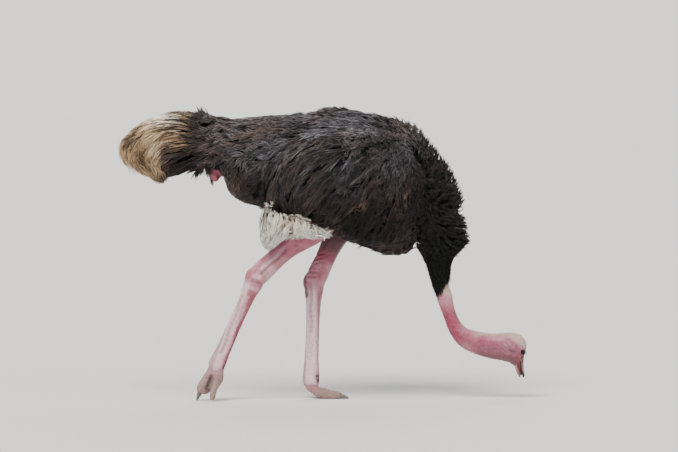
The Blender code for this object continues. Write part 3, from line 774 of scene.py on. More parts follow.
class Nodes:
    """A short way to lay out a material's nodes."""

    def __init__(self, name):
        self.material = bpy.data.materials.new(name)
        self.material.use_nodes = True
        self.tree = self.material.node_tree
        self.shader = self.tree.nodes["Principled BSDF"]

    def add(self, kind, inputs=(), **settings):
        node = self.tree.nodes.new(kind)
        for key, value in settings.items():
            setattr(node, key, value)
        for key, value in dict(inputs).items():
            self.put(node.inputs[key], value)
        return node

    def put(self, socket, value):
        if isinstance(value, bpy.types.NodeSocket):
            self.tree.links.new(value, socket)
        else:
            socket.default_value = value

    def set(self, **inputs):
        """Puts values or links into the shader's inputs, whose names have _ for a space."""
        for key, value in inputs.items():
            self.put(self.shader.inputs[key.replace("_", " ")], value)

    def attribute(self, name):
        return self.add("ShaderNodeAttribute", attribute_name=name)

    def object_place(self):
        return self.add("ShaderNodeTexCoord").outputs["Object"]

    def scaled(self, vector, scale):
        return self.add("ShaderNodeMapping", {"Vector": vector, "Scale": scale}).outputs["Vector"]

    def mix(self, share, a, b, blend="MIX"):
        """Two colours mixed. Each is a socket, or its red, green and blue."""
        node = self.add("ShaderNodeMix", data_type="RGBA", blend_type=blend)
        self.put(node.inputs[0], share)
        for socket, value in ((node.inputs[6], a), (node.inputs[7], b)):
            self.put(socket, value if isinstance(value, bpy.types.NodeSocket) else (*value[:3], 1.0))
        return node.outputs[2]

    def math(self, operation, a, b=0.0):
        return self.add("ShaderNodeMath", {0: a, 1: b}, operation=operation).outputs[0]

    def spread(self, value, low, high, to_low=0.0, to_high=1.0):
        inputs = {"Value": value, "From Min": low, "From Max": high, "To Min": to_low, "To Max": to_high}
        return self.add("ShaderNodeMapRange", inputs).outputs["Result"]

    def noise(self, scale, detail=3.0, vector=None):
        inputs = {"Scale": scale, "Detail": detail, "Roughness": 0.55}
        inputs["Vector"] = self.object_place() if vector is None else vector
        return self.add("ShaderNodeTexNoise", inputs).outputs["Fac"]

    def bump(self, height, distance, strength):
        inputs = {"Height": height, "Distance": distance, "Strength": strength}
        return self.add("ShaderNodeBump", inputs).outputs["Normal"]


def coat_material(name, settings, roughness, contrast=1.0):
    """Plumage: coloured by its markings, with painted shade at the roots and painted sheen at the tips, and
    barbs.
    """
    n = Nodes(name)
    marks = n.attribute("coat_marks")
    split = n.add("ShaderNodeSeparateColor", {"Color": marks.outputs["Color"]})
    run = n.attribute("coat_run").outputs["Fac"]
    tone_and_shade = n.attribute("coat_tone_and_shade").outputs["Fac"]
    fibre = n.attribute("coat_fibre").outputs["Vector"]
    barbs = n.noise(1.0, 2.0, n.scaled(fibre, (1100, 30, 3)))
    dark = n.mix(split.outputs["Red"], settings.black, settings.brown)
    # Painted grey-blue sheen towards the tips of the locks.
    tip = n.math("MULTIPLY", n.math("POWER", run, 1.5), marks.outputs["Alpha"])
    dark = n.mix(tip, dark, settings.painted_sheen)
    base = n.mix(split.outputs["Green"], dark, settings.tan)
    base = n.mix(split.outputs["Blue"], base, settings.white)
    # Painted light and shade of the locks, painted shade towards the roots, and the barbs' streaks.
    reach = 0.85 * contrast
    light = n.spread(tone_and_shade, -2.2, 2.2, 1 - reach, 1 + reach)
    light = n.math("MULTIPLY", light, n.spread(run, 0.0, 0.7, 1 - 0.60 * contrast, 1.0))
    light = n.math("MULTIPLY", light, n.spread(barbs, 0.30, 0.70, 1 - 0.45 * contrast, 1 + 0.45 * contrast))
    grey = n.add("ShaderNodeCombineColor", {"Red": light, "Green": light, "Blue": light})
    base = n.mix(1.0, base, grey.outputs["Color"], "MULTIPLY")
    n.set(Base_Color=base, Roughness=roughness, Normal=n.bump(barbs, 0.0006, 0.8))
    n.set(Specular_IOR_Level=0.28, Sheen_Weight=0.03, Sheen_Roughness=0.5)
    return n.material


PLATES = 118.0  # over each metre of a toe


def skin_material(settings):
    """Bare skin: coloured by its markings, with folds and scales, and painted near-black shade under the
    coat.
    """
    n = Nodes("bare_skin")
    marks = n.attribute("skin_marks")
    split = n.add("ShaderNodeSeparateColor", {"Color": marks.outputs["Color"]})
    tints = n.attribute("skin_tints")
    tint = n.add("ShaderNodeSeparateColor", {"Color": tints.outputs["Color"]})
    coat = n.attribute("coat_cover").outputs["Fac"]
    lie = n.attribute("skin_lie").outputs["Vector"]
    fine = n.noise(110.0, 4.0)
    broad = n.noise(22.0, 4.0)
    streaks = n.noise(1.0, 3.0, n.scaled(lie, (70, 130, 20)))
    folds = n.noise(1.0, 4.0, n.scaled(lie, (240, 150, 40)))
    base = n.mix(n.spread(broad, 0.38, 0.62), settings.pink, settings.pale_pink)
    base = n.mix(split.outputs["Red"], base, settings.flush)
    # Grey places of the legs, and painted highlights on ridges of the face and the legs.
    base = n.mix(split.outputs["Green"], base, settings.grey)
    base = n.mix(tints.outputs["Alpha"], base, settings.mauve)
    base = n.mix(n.math("MULTIPLY", n.spread(streaks, 0.45, 0.70), 0.30), base, settings.pale_pink)
    base = n.mix(n.math("MULTIPLY", n.spread(fine, 0.50, 0.75), 0.35), base, settings.flush)
    # Brown: callus and toes, and painted shade in creases, folds, the ear, under the throat and between the
    # toes.
    base = n.mix(tint.outputs["Blue"], base, settings.brown)
    base = n.mix(tint.outputs["Green"], base, settings.red)
    downy = n.math("MULTIPLY", tint.outputs["Red"], n.spread(fine, 0.30, 0.62, 0.35, 0.95))
    base = n.mix(downy, base, settings.down)
    base = n.mix(n.math("MULTIPLY", n.spread(folds, 0.45, 0.28), 0.30), base, settings.shadow)
    # Dark scutes, and painted shade in the mouth, the ear, between the raised toes and on the top of the
    # left shin.
    base = n.mix(split.outputs["Blue"], base, settings.dark_scale_and_shade)
    # Painted shade: the skin under the plumage is near black, so the gaps between the locks read as deep
    # shade.
    base = n.mix(coat, base, settings.under_coat)
    cells = {"Scale": 1.0, "Vector": n.scaled(lie, (230, 260, 40))}
    scales = n.add("ShaderNodeTexVoronoi", cells).outputs["Distance"]
    scaly = marks.outputs["Alpha"]
    lying = n.add("ShaderNodeSeparateXYZ", {"Vector": lie})
    plate = n.math("FRACT", n.math("MULTIPLY", lying.outputs["X"], PLATES))
    plate = n.math("MULTIPLY", n.math("POWER", plate, 3.0), n.math("MULTIPLY", lying.outputs["Z"], scaly))
    base = n.mix(n.math("MULTIPLY", plate, 0.45), base, settings.brown)
    height = n.math("MULTIPLY", n.math("MULTIPLY", scales, scaly), -0.8)
    height = n.math("ADD", height, n.math("MULTIPLY", plate, -1.0))
    height = n.math("ADD", height, n.math("MULTIPLY", folds, 0.9))
    height = n.math("ADD", height, n.math("MULTIPLY", n.noise(420.0, 3.0), 0.35))
    bare_gloss = n.spread(fine, 0.3, 0.7, 0.44, 0.62)
    n.set(Base_Color=base, Roughness=n.mix(coat, bare_gloss, (0.95, 0.95, 0.95)))
    n.set(Normal=n.bump(height, 0.0014, 0.7), Specular_IOR_Level=0.32)
    n.set(Subsurface_Weight=0.10, Subsurface_Radius=(0.010, 0.004, 0.003), Subsurface_Scale=0.5)
    return n.material


def bill_material(settings):
    """Horn of the bill: pink by the face, tan at the tips, a dark nail, and painted shade in nostrils and
    mouth.
    """
    n = Nodes("bill_horn")
    split = n.add("ShaderNodeSeparateXYZ", {"Vector": n.object_place()})
    height = split.outputs["Z"]
    lengthwise = n.noise(1.0, 4.0, n.scaled(n.object_place(), (320, 320, 50)))
    base = n.mix(n.spread(lengthwise, 0.35, 0.65), settings.bill, settings.bill_pale)
    marks = n.add("ShaderNodeSeparateColor", {"Color": n.attribute("horn_marks").outputs["Color"]})
    base = n.mix(marks.outputs["Red"], base, settings.bill_upper)
    base = n.mix(n.spread(height, 0.135, 0.108), base, settings.bill_tip)
    base = n.mix(marks.outputs["Green"], base, settings.dark_scale_and_shade)
    n.set(Base_Color=base, Roughness=n.spread(lengthwise, 0.3, 0.7, 0.36, 0.50))
    n.set(Normal=n.bump(lengthwise, 0.0006, 0.6), Specular_IOR_Level=0.25)
    return n.material


def claw_material(settings):
    """Worn horn: streaked along the claw, paler at the root."""
    n = Nodes("claw_horn")
    streaks = n.noise(1.0, 4.0, n.scaled(n.object_place(), (90, 500, 500)))
    base = n.mix(n.spread(streaks, 0.35, 0.65), settings.claw, settings.claw_pale)
    n.set(Base_Color=base, Roughness=n.spread(streaks, 0.3, 0.7, 0.38, 0.55))
    n.set(Normal=n.bump(streaks, 0.0008, 0.7))
    return n.material


def eye_material(settings, side, outward):
    """A wet, dark brown eye: a black pupil and a brown ring round the way that the eye looks."""
    n = Nodes(f"eye_{side}")
    centre, _ = eye_place(side)
    look, _, _ = eye_axes(outward)
    away = n.add("ShaderNodeVectorMath", {0: n.object_place(), 1: tuple(centre)}, operation="SUBTRACT")
    unit_way = n.add("ShaderNodeVectorMath", {0: away.outputs["Vector"]}, operation="NORMALIZE")
    ways = {0: unit_way.outputs["Vector"], 1: tuple(look)}
    facing = n.add("ShaderNodeVectorMath", ways, operation="DOT_PRODUCT")
    ring = n.spread(facing.outputs["Value"], 0.935, 0.955)
    white = n.spread(facing.outputs["Value"], 0.74, 0.70)
    grain = n.noise(600.0, 3.0)
    iris = n.mix(grain, settings.iris, settings.iris_dark)
    base = n.mix(white, iris, settings.iris_dark)
    base = n.mix(ring, base, (0.002, 0.002, 0.002))
    n.set(Base_Color=base, Roughness=0.04, Specular_IOR_Level=0.22)
    return n.material


# ---- The skin --------------------------------------------------------------------------------------


EYE_LOOK = (0.30, 0.93, -0.19)  # the way the opening of the lids faces, on the left
EYE_LONG = (0.34, 0.0, -0.94)  # the way from its upper corner to its lower one
LID_GAP = (0.74, 0.46)  # half the opening's length and width, as shares of the eye's radius
NECK_LINE = (
    (0.590, 0.640),
    (0.555, 0.480),
    (0.560, 0.400),
    (0.600, 0.320),
    (0.670, 0.270),
    (0.800, 0.245),
    (0.880, 0.230),
)

# Folds and coloured places on each side of the face. Each is a line from one (x, z) to another, how far it
# reaches on each side, how far it stands out, what colours it and how much. The brown lines in the creases
# and the ear's hollow, and the dark in the ear, are painted shade; the grey lines on ridges are painted
# highlights.
FACE_LINES = (
    ((0.843, 0.220), (0.861, 0.211), 0.0072, -0.0036, "brown", 0.65),
    ((0.846, 0.219), (0.861, 0.211), 0.0050, 0.0, "dark", 0.22),
    ((0.843, 0.220), (0.861, 0.211), 0.0100, 0.0, "flush", 0.45),
    ((0.869, 0.200), (0.886, 0.152), 0.0085, 0.0008, "red", 0.75),
    ((0.860, 0.194), (0.875, 0.146), 0.0022, 0.0018, "grey", 0.45),
    ((0.869, 0.197), (0.882, 0.150), 0.0018, 0.0014, "grey", 0.25),
    ((0.865, 0.192), (0.8785, 0.147), 0.0014, -0.0012, "brown", 0.40),
    ((0.875, 0.196), (0.8865, 0.153), 0.0014, -0.0012, "brown", 0.40),
    ((0.881, 0.197), (0.889, 0.168), 0.0022, 0.0014, "grey", 0.40),
    ((0.848, 0.198), (0.859, 0.168), 0.0085, -0.0014, "mauve", 0.65),
    ((0.848, 0.198), (0.859, 0.168), 0.0065, 0.0, "flush", 0.60),
    ((0.836, 0.179), (0.839, 0.174), 0.0035, 0.0014, "grey", 0.50),
    ((0.878, 0.240), (0.893, 0.231), 0.0050, 0.0034, "grey", 0.65),
    ((0.832, 0.250), (0.848, 0.236), 0.0085, 0.0006, "grey", 0.45),
    ((0.872, 0.226), (0.884, 0.206), 0.0078, 0.0026, "flush", 0.90),
    ((0.866, 0.242), (0.870, 0.222), 0.0030, -0.0020, "brown", 0.35),
    ((0.8155, 0.268), (0.848, 0.2705), 0.0032, -0.0022, "brown", 0.60),
    ((0.8235, 0.256), (0.841, 0.237), 0.0034, -0.0024, "brown", 0.60),
    ((0.814, 0.247), (0.8275, 0.240), 0.0040, 0.0020, "grey", 0.50),
    ((0.852, 0.246), (0.862, 0.258), 0.0050, -0.0014, "brown", 0.25),
    ((0.800, 0.228), (0.836, 0.205), 0.0035, -0.0014, "flush", 0.45),
    ((0.806, 0.205), (0.832, 0.186), 0.0040, -0.0012, "flush", 0.45),
    ((0.700, 0.262), (0.790, 0.245), 0.0100, -0.0010, "flush", 0.35),
    ((0.548, 0.400), (0.600, 0.285), 0.0280, 0.0, "flush", 0.45),
    ((0.600, 0.285), (0.760, 0.236), 0.0260, 0.0, "flush", 0.45),
    ((0.620, 0.265), (0.760, 0.225), 0.0200, 0.0, "mauve", 0.35),
)
# The same on each leg. The brown lines that sink are painted shade in grooves and creases, the raised
# brown line on the left leg is its callus, and the grey lines on tendons and knuckles are painted
# highlights.
LEG_LINES = {
    "right": (
        ((-0.274, 0.574), (-0.168, 0.684), 0.0075, -0.0065, "brown", 0.42),
        ((-0.268, 0.598), (-0.178, 0.694), 0.0100, 0.0036, "grey", 0.45),
        ((-0.262, 0.618), (-0.200, 0.678), 0.0045, -0.0034, "brown", 0.20),
        ((-0.240, 0.640), (-0.190, 0.690), 0.0180, 0.0, "mauve", 0.25),
        ((-0.302, 0.586), (-0.286, 0.612), 0.0080, -0.0050, "flush", 0.90),
        ((-0.292, 0.628), (-0.268, 0.640), 0.0090, 0.0016, "flush", 0.35),
        ((-0.308, 0.566), (-0.286, 0.560), 0.0110, 0.0036, "grey", 0.45),
        ((-0.272, 0.560), (-0.262, 0.548), 0.0110, -0.0030, "flush", 0.90),
        ((-0.320, 0.545), (-0.272, 0.524), 0.0055, -0.0036, "brown", 0.22),
        ((-0.345, 0.520), (-0.300, 0.505), 0.0090, 0.0016, "grey", 0.45),
        ((-0.366, 0.470), (-0.455, 0.220), 0.0065, -0.0042, "brown", 0.38),
        ((-0.338, 0.470), (-0.436, 0.215), 0.0060, 0.0020, "grey", 0.40),
        ((-0.385, 0.330), (-0.412, 0.230), 0.0075, 0.0010, "flush", 0.80),
    ),
    "left": (
        ((-0.088, 0.548), (-0.082, 0.462), 0.0085, 0.0026, "brown", 0.90),
        ((-0.062, 0.560), (-0.030, 0.640), 0.0240, 0.0, "flush", 0.75),
        ((-0.078, 0.572), (-0.036, 0.566), 0.0048, -0.0034, "brown", 0.20),
        ((-0.078, 0.552), (-0.034, 0.544), 0.0040, -0.0030, "flush", 0.70),
        ((-0.060, 0.520), (-0.058, 0.300), 0.0065, -0.0034, "mauve", 0.40),
        ((-0.046, 0.500), (-0.044, 0.160), 0.0055, 0.0016, "grey", 0.30),
        ((-0.036, 0.640), (0.010, 0.650), 0.0034, -0.0026, "brown", 0.14),
        ((-0.040, 0.622), (0.004, 0.632), 0.0034, -0.0026, "brown", 0.14),
        ((-0.044, 0.604), (-0.002, 0.612), 0.0034, -0.0026, "brown", 0.14),
    ),
}
WANDER = 0.15  # how often a drawn line bends, times how far it wanders
FACE_WANDER = 0.0008
LEG_WANDER = 0.003
# The mouth's painted shade lies between these, in x for each z.
MOUTH_Z = (0.104, 0.135, 0.171)
MOUTH_BACK = (0.8900, 0.8850, 0.8840)
MOUTH_FRONT = (0.9050, 0.8940, 0.8910)
TOE_HOLLOW = ((-0.503, 0.112), (-0.523, 0.056))  # the shadow between the raised toes, in x and z
TOE_FAN = (-0.509, 0.1413)  # the place from which the raised foot's wrinkles spread, in x and z
RAYS = 22  # wrinkles in a whole turn
CREASES = (0.030, 0.052, 0.074, 0.096)  # across the toes, from the ankle


def mouth_share(points):
    """1 in the painted shade of the mouth, in the side view, and 0 behind it or in front."""
    x, _, z = points.T
    back, front = np.interp(z, MOUTH_Z, MOUTH_BACK), np.interp(z, MOUTH_Z, MOUTH_FRONT)
    return ramp(x - back, -0.0010, 0.0010) * ramp(front - x, -0.0012, 0.0012) * ramp(-z, -0.180, -0.168)


def node_points(name):
    return points_of(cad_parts[name].data)


def end_of(points, top):
    """The middle of a limb's upper or lower end."""
    height = points[:, 2] if top else -points[:, 2]
    return points[height > height.max() - 0.02].mean(axis=0)


class Leg:
    """One leg's joints, and where points lie along and across its bones."""

    def __init__(self, side, outward):
        self.outward = outward
        self.hip = end_of(node_points(f"shin_{side}"), True)
        self.hock = end_of(node_points(f"tarsus_{side}"), True)
        self.toes = end_of(node_points(f"tarsus_{side}"), False)

    def place(self, points, start, end):
        """The share of the way from start to end, and how far in front of that line and outside it."""
        axis = unit(end - start)
        ahead = unit(np.array((1.0, 0.0, 0.0)) - axis[0] * axis)
        out = self.outward * unit(np.array((0.0, 1.0, 0.0)) - axis[1] * axis)
        away = points - start
        return away @ axis / np.linalg.norm(end - start), away @ ahead, away @ out

    def on_shin(self, points):
        return self.place(points, self.hip, self.hock)

    def on_tarsus(self, points):
        return self.place(points, self.hock, self.toes)


LEGS = {side: Leg(side, outward) for side, outward in SIDES}


def lines_drawn(lines, points, wander, allowed, shares=None):
    """How far these wandering lines draw the skin out. Their colours are added to the shares."""
    relief = np.zeros(len(points))
    x, y, z = WANDER / wander * points.T
    wobble = np.stack([np.sin(z + 0.3 * y) + np.sin(0.45 * x), 0 * x, np.sin(0.9 * x - 0.4 * y)], axis=1)
    points = points + wander * wobble
    for start, stop, width, height, name, amount in lines:
        gap, _ = from_line(points, start, stop)
        relief += height * hill(gap, 0, width) * allowed
        if shares is not None:
            shares[name] += amount * (1 - ramp(gap, 0.2 * width, 1.7 * width)) * allowed
    return relief


def toe_fan(points):
    """The wrinkles that spread over the raised foot: their ridges, and where they are."""
    x, _, z = points.T
    rays = np.cos(RAYS * np.arctan2(z - TOE_FAN[1], x - TOE_FAN[0]))
    middle = (TOE_FAN[0] + 0.020, 0, TOE_FAN[1] - 0.024)
    return rays, bump_round(points * (1, 0, 1), middle, (0.030, 1, 0.040))


def leg_relief(points, masks):
    """Tendons, knuckles and the creases of the toes: how far the skin stands out from the plain form."""
    relief = np.zeros(len(points))
    for side, leg in LEGS.items():
        share, front, out = leg.on_tarsus(points)
        tarsus = masks[f"tarsus_{side}"]
        length = between(share, 0.16, 0.80, 0.10)
        relief -= 0.0014 * tarsus * length * hill(front, -0.006, 0.0050)
        relief -= 0.0014 * tarsus * length * hill(front, 0.013, 0.0035)
        joint = tarsus * between(share, 0.90, 1.05, 0.05)
        relief += 0.0035 * joint * hill(np.abs(out), 0.018, 0.012)
        shin = masks[f"shin_{side}"]
        relief += lines_drawn(LEG_LINES[side], points, LEG_WANDER, shin + tarsus)
        knuckle = bump_round(points, leg.hock + (0.004, 0, -0.004), (0.026, 0.08, 0.024))
        relief += 0.0040 * knuckle * (tarsus + shin)
        relief -= 0.0035 * bump_round(points, leg.hock + (-0.020, 0, -0.036), (0.012, 0.08, 0.016)) * tarsus
        relief -= 0.0025 * bump_round(points, leg.hock + (0.016, 0, 0.034), (0.010, 0.08, 0.010)) * shin
        for toe in ("toe_large", "toe_small"):
            whole = node_points(f"{toe}_{side}")
            along = unit(whole[whole[:, 0].argmax()] - whole[whole[:, 0].argmin()])
            if side == "right":
                along = unit(end_of(whole, False) - end_of(whole, True))
            reach = (points - leg.toes) @ along
            creases = sum(hill(reach, place, 0.0035) for place in CREASES)
            relief -= 0.0006 * masks[f"{toe}_{side}"] * creases
    rays, fan = toe_fan(points)
    toes = masks["toe_large_right"] + masks["toe_small_right"]
    relief -= 0.0016 * rays * fan * toes
    gap, _ = from_line(points, *TOE_HOLLOW)
    relief -= 0.0060 * toes * hill(gap, 0, 0.0065)
    return relief


def face_relief(points):
    """Brows, ears and the folds behind the mouth."""
    x, y, z = points.T
    mirrored = np.stack([x, np.abs(y), z], axis=1)
    relief = 0.0030 * bump_round(mirrored, (0.904, 0.030, 0.232), (0.008, 0.012, 0.016))
    relief += 0.0020 * bump_round(mirrored, (0.880, 0.039, 0.229), (0.009, 0.014, 0.011))
    relief += lines_drawn(FACE_LINES, points, FACE_WANDER, ramp(np.abs(y), 0.010, 0.020))
    jaw = hill(x - 0.845 - 0.35 * (z - 0.19), 0, 0.006) * between(z, 0.165, 0.200, 0.02)
    return relief - 0.0014 * jaw


def neck_place(points):
    """How far along the neck from its base each point lies, and the angle round it."""
    line = np.array(NECK_LINE)
    flat = points[:, (0, 2)]
    best = np.full(len(points), np.inf)
    along = np.zeros(len(points))
    around = np.zeros(len(points))
    done = 0.0
    for start, stop in zip(line[:-1], line[1:]):
        step = stop - start
        length = np.linalg.norm(step)
        share = np.clip((flat - start) @ step / length**2, 0, 1)
        away = flat - start - share[:, None] * step
        gap = np.linalg.norm(away, axis=1)
        above = away @ np.array((-step[1], step[0])) / length
        nearer = gap < best
        best = np.minimum(best, gap)
        along = np.where(nearer, done + share * length, along)
        around = np.where(nearer, np.arctan2(points[:, 1], above), around)
        done += length
    return along, around


def upperness(points):
    """Height round the throat and neck: 1 on top and -1 below."""
    _, around = neck_place(points)
    return np.cos(around)


def neck_relief(points):
    """Shallow folds across the neck and the windpipe's ridge under it."""
    along, around = neck_place(points)
    x, _, z = points.T
    bare = ramp(-z, -0.56, -0.50) * ramp(-x, -0.84, -0.80) * ramp(x, 0.48, 0.50)
    wander = wave(points, (60, 45, 30, 0.5), (-35, 80, 55, 2.5))
    folds = np.sin(along * 420 + 5 * wander) * (0.35 + 0.65 * ramp(wander, 0.4, 0.7))
    bend = hill(along, 0.36, 0.10)
    lumps = 2 * wave(points, (40, 60, -50, 1.5), (75, -35, 40, 0.2)) - 1
    relief = 0.0007 * folds * (0.5 + bend) + 0.0012 * lumps
    cord = hill(np.abs(around), 2.30, 0.22)
    return bare * (relief - 0.0022 * cord)


def vent_share(points, masks):
    """1 on the bare vent and 0 away from it."""
    around = bump_round(points, (-0.489, 0.0, 1.003), (0.034, 0.045, 0.034))
    return np.maximum(masks["vent"], ramp(around, 0.3, 0.5))


def vent_relief(points, masks):
    """The folds that draw together at the vent."""
    away = points - np.array((-0.490, 0.0, 1.002))
    angle = np.arctan2(away[:, 2], away[:, 0])
    ring = np.linalg.norm(away[:, (0, 2)], axis=1)
    folds = np.sin(7 * angle + 160 * ring) + 0.6 * np.sin(11 * angle - 90 * ring + 40 * away[:, 1])
    return 0.0011 * masks["vent"] * folds * ramp(ring, 0.003, 0.012)


def opened_eyes(points):
    """The skin round the eyes drawn onto them as lids, and sunk behind them where they are open."""
    for side, outward in SIDES:
        centre, radius = eye_place(side)
        look, long, short = eye_axes(outward)
        away = points - centre
        distance = np.linalg.norm(away, axis=1)
        way = away / np.maximum(distance, 1e-6)[:, None]
        along, across = np.abs(way @ long) / LID_GAP[0], way @ short / LID_GAP[1]
        across = across / (1 - 0.30 * np.clip(along, 0, 1) ** 2)
        rim = np.where(way @ look > 0.1, np.hypot(along, across), 9.0)
        lid = 1 - ramp(rim, 1.45, 2.15)
        on_ball = radius + 0.0011 + 0.0012 * hill(rim, 1.17, 0.12) - 0.0008 * hill(rim, 1.55, 0.10)
        wanted = distance + (on_ball - distance) * lid
        inside = 1 - ramp(rim, 0.93, 1.06)
        wanted = wanted + (radius - 0.0045 - wanted) * inside
        near = distance < radius + 0.020
        points = np.where(near[:, None], centre + way * wanted[:, None], points)
    return points


def mark_neck(shares, points, masks, blotch, speckle):
    """Adds the colours of the neck, the head and the vent to the shares."""
    x, y, z = points.T
    shares["flush"] += 0.85 * bump_round(points, (0.560, 0.0, 0.345), (0.070, 0.2, 0.060))
    shares["flush"] += 0.30 * between(x, 0.60, 0.77, 0.06) * between(z, 0.20, 0.275, 0.03)
    shares["flush"] += 0.8 * vent_share(points, masks) * (0.4 + 0.6 * blotch)
    # Painted shade in the vent's folds.
    shares["brown"] += 0.25 * masks["vent"] * ramp(-vent_relief(points, masks), -0.0002, 0.0015)
    shares["mauve"] += 0.75 * ramp(x, 0.66, 0.78) * ramp(-z, -0.275, -0.235)
    # Painted shade under the throat and the head.
    shares["brown"] += 0.55 * ramp(x, 0.66, 0.72) * ramp(-upperness(points), 0.55, 0.95)
    shares["pale"] += beige_share(points)
    cheeks = ramp(np.abs(y), 0.008, 0.018) * (0.8 + 0.4 * (speckle - 0.5))
    lines_drawn(FACE_LINES, points, FACE_WANDER, cheeks, shares)


def mark_legs(shares, points, masks, toes, blotch, speckle):
    """Adds the colours of the shins and the tarsi to the shares."""
    for side, leg in LEGS.items():
        share, front, _ = leg.on_tarsus(points)
        tarsus = masks[f"tarsus_{side}"]
        edge = front / 0.022
        stripe = between(share, 0.20, 0.86, 0.15) * ramp(edge + 0.4 * (blotch - 0.5), 0.45, 1.05)
        shares["flush"] += (0.75 if side == "right" else 0.20) * tarsus * stripe
        reach = -1.00 if side == "right" else -1.80
        grey = (tarsus + 0.1 * toes) * 0.80 * ramp(share, 0.02, 0.16)
        shares["grey"] += grey * ramp(-edge, reach, reach + 0.8)
        spots = np.maximum(hill(share, 0.905, 0.018), hill(share, 0.945, 0.024))
        shares["dark"] += 0.9 * tarsus * spots * ramp(edge, 0.88, 1.08) * ramp(speckle, 0.10, 0.40)
        shares["mauve"] += 0.4 * tarsus * hill(share, 0.92, 0.05) * ramp(edge, 0.65, 0.90)
        # Painted shade along the back edge of each tarsus.
        shares["brown"] += 0.45 * tarsus * ramp(-edge, 0.80, 1.10) * ramp(share, 0.10, 0.30)
        share, _, _ = leg.on_shin(points)
        shin = masks[f"shin_{side}"]
        shares["flush"] += shin * (0.20 + 0.30 * ramp(blotch, 0.30, 0.70)) * ramp(-share, -0.75, -0.55)
        shares["mauve"] += 0.30 * shin * ramp(-share, -0.75, -0.50)
        shares["grey"] += 0.30 * shin * ramp(share, 0.55, 0.75) * ramp(blotch, 0.30, 0.70)
        lines_drawn(LEG_LINES[side], points, LEG_WANDER, (shin + tarsus) * (0.5 + speckle), shares)
        # Painted shadow of the body on the top of the left shin, in brown, flush and dark.
        if side == "left":
            shares["brown"] += 0.85 * shin * ramp(-share, -0.62, -0.36)
            shares["flush"] += 0.55 * shin * ramp(-share, -0.80, -0.55)
            shares["dark"] += 0.22 * shin * ramp(-share, -0.55, -0.32)


def mark_toes(shares, points, toes, blotch, speckle):
    """Adds the colours of the toes, which fade into the tarsus, to the shares."""
    away = np.minimum(*(np.linalg.norm(points - leg.toes, axis=1) for leg in LEGS.values()))
    toes = toes * (0.25 + 0.75 * ramp(away, 0.022, 0.070))
    shares["pale"] += 0.45 * toes
    shares["brown"] += toes * (0.58 + 0.20 * blotch + 0.20 * ramp(speckle, 0.45, 0.75))
    # Painted shadow between the raised toes, in brown and dark.
    gap, _ = from_line(points, *TOE_HOLLOW)
    hollow = toes * hill(gap, 0, 0.0085) * ramp(-points[:, 0], 0.46, 0.48)
    shares["brown"] += 1.2 * hollow
    shares["dark"] += 0.60 * hollow
    # Painted shade in the grooves of the wrinkles that fan over the raised foot.
    rays, fan = toe_fan(points)
    shares["brown"] += 0.55 * fan * toes * ramp(rays, -0.10, 0.70)


def mark_mouth(shares, points, masks):
    """Adds the red lining inside the bill and the painted shade of the mouth to the shares."""
    lining = np.clip(2 * sum(masks[node] for node in HORN_NODES if node.startswith("bill")), 0, 1)
    lining = lining * ramp(-points[:, 2], -0.175, -0.162)
    shares["red"] += 0.45 * lining
    shares["dark"] += 0.84 * lining * mouth_share(points)


def skin_markings(points, masks):
    """The bare skin's shares of flush, grey, dark and scales, then of pale, red, brown and mauve."""
    names = ("flush", "grey", "dark", "pale", "red", "brown", "mauve")
    shares = {name: np.zeros(len(points)) for name in names}
    toes = sum(masks[node] for node in LEG_NODES if node.startswith("toe"))
    blotch = wave(points, (31, 44, 27, 0.2), (-52, 23, 38, 1.1), (19, -61, 45, 2.7))
    speckle = wave(points, (210, 180, 260, 0.7), (-260, 150, 190, 2.2), (170, -240, 230, 4.4))
    mark_neck(shares, points, masks, blotch, speckle)
    mark_legs(shares, points, masks, toes, blotch, speckle)
    mark_toes(shares, points, toes, blotch, speckle)
    mark_mouth(shares, points, masks)
    scaly = 0.9 * sum(masks[node] for node in LEG_NODES) * ramp(-points[:, 2], -0.62, -0.50)
    shares = {name: np.clip(share, 0, 1) for name, share in shares.items()}
    marks = np.stack([shares["flush"], shares["grey"], shares["dark"], scaly], axis=1)
    tints = np.stack([shares["pale"], shares["red"], shares["brown"], shares["mauve"]], axis=1)
    return marks, tints


def skin_lie(points, masks):
    """Where each point lies on its limb: metres along it, and metres round it."""
    along, around = neck_place(points)
    lie = np.stack([along, 0.035 * around, 0.3 * points[:, 1]], axis=1)
    for side, leg in LEGS.items():
        on = sum(masks[f"{part}_{side}"] for part in ("tarsus", "toe_large", "toe_small", "shin"))
        share, front, out = leg.on_tarsus(points)
        long = share * np.linalg.norm(leg.toes - leg.hock)
        turn = np.arctan2(out, front)
        lie = np.where(on[:, None] > 0.5, np.stack([long, 0.022 * turn, 0 * long], axis=1), lie)
        for toe in (f"toe_large_{side}", f"toe_small_{side}"):
            whole = node_points(toe)
            gap = np.linalg.norm(whole - leg.toes, axis=1)
            start = whole[np.argsort(gap)[:40]].mean(axis=0)
            tip = whole[np.argmax(gap)]
            way = unit(tip - start)
            top = unit(np.cross(way, (0.0, -1.0, 0.0)))
            top = top if top[0] + top[2] > 0 else -top
            away = points - start
            reach = away @ way
            rise = away @ top
            turn = np.arctan2(away[:, 1], rise)
            upper = ramp(rise, 0.000, 0.010) * ramp(reach, 0.000, 0.020)
            toe_lie = np.stack([reach, 0.020 * turn, upper], axis=1)
            lie = np.where(masks[toe][:, None] > 0.5, toe_lie, lie)
    return lie


GROW_BACK = 1.04  # the step out, where the step in is 1


def kept_smooth(mesh, points, rounds):
    """The points smoothed without loss of volume, by steps in and out."""
    for _ in range(rounds):
        inward = spread_over(mesh, points, 1)
        points = points + (inward - points)
        outward = spread_over(mesh, points, 1)
        points = points - GROW_BACK * (outward - points)
    return points


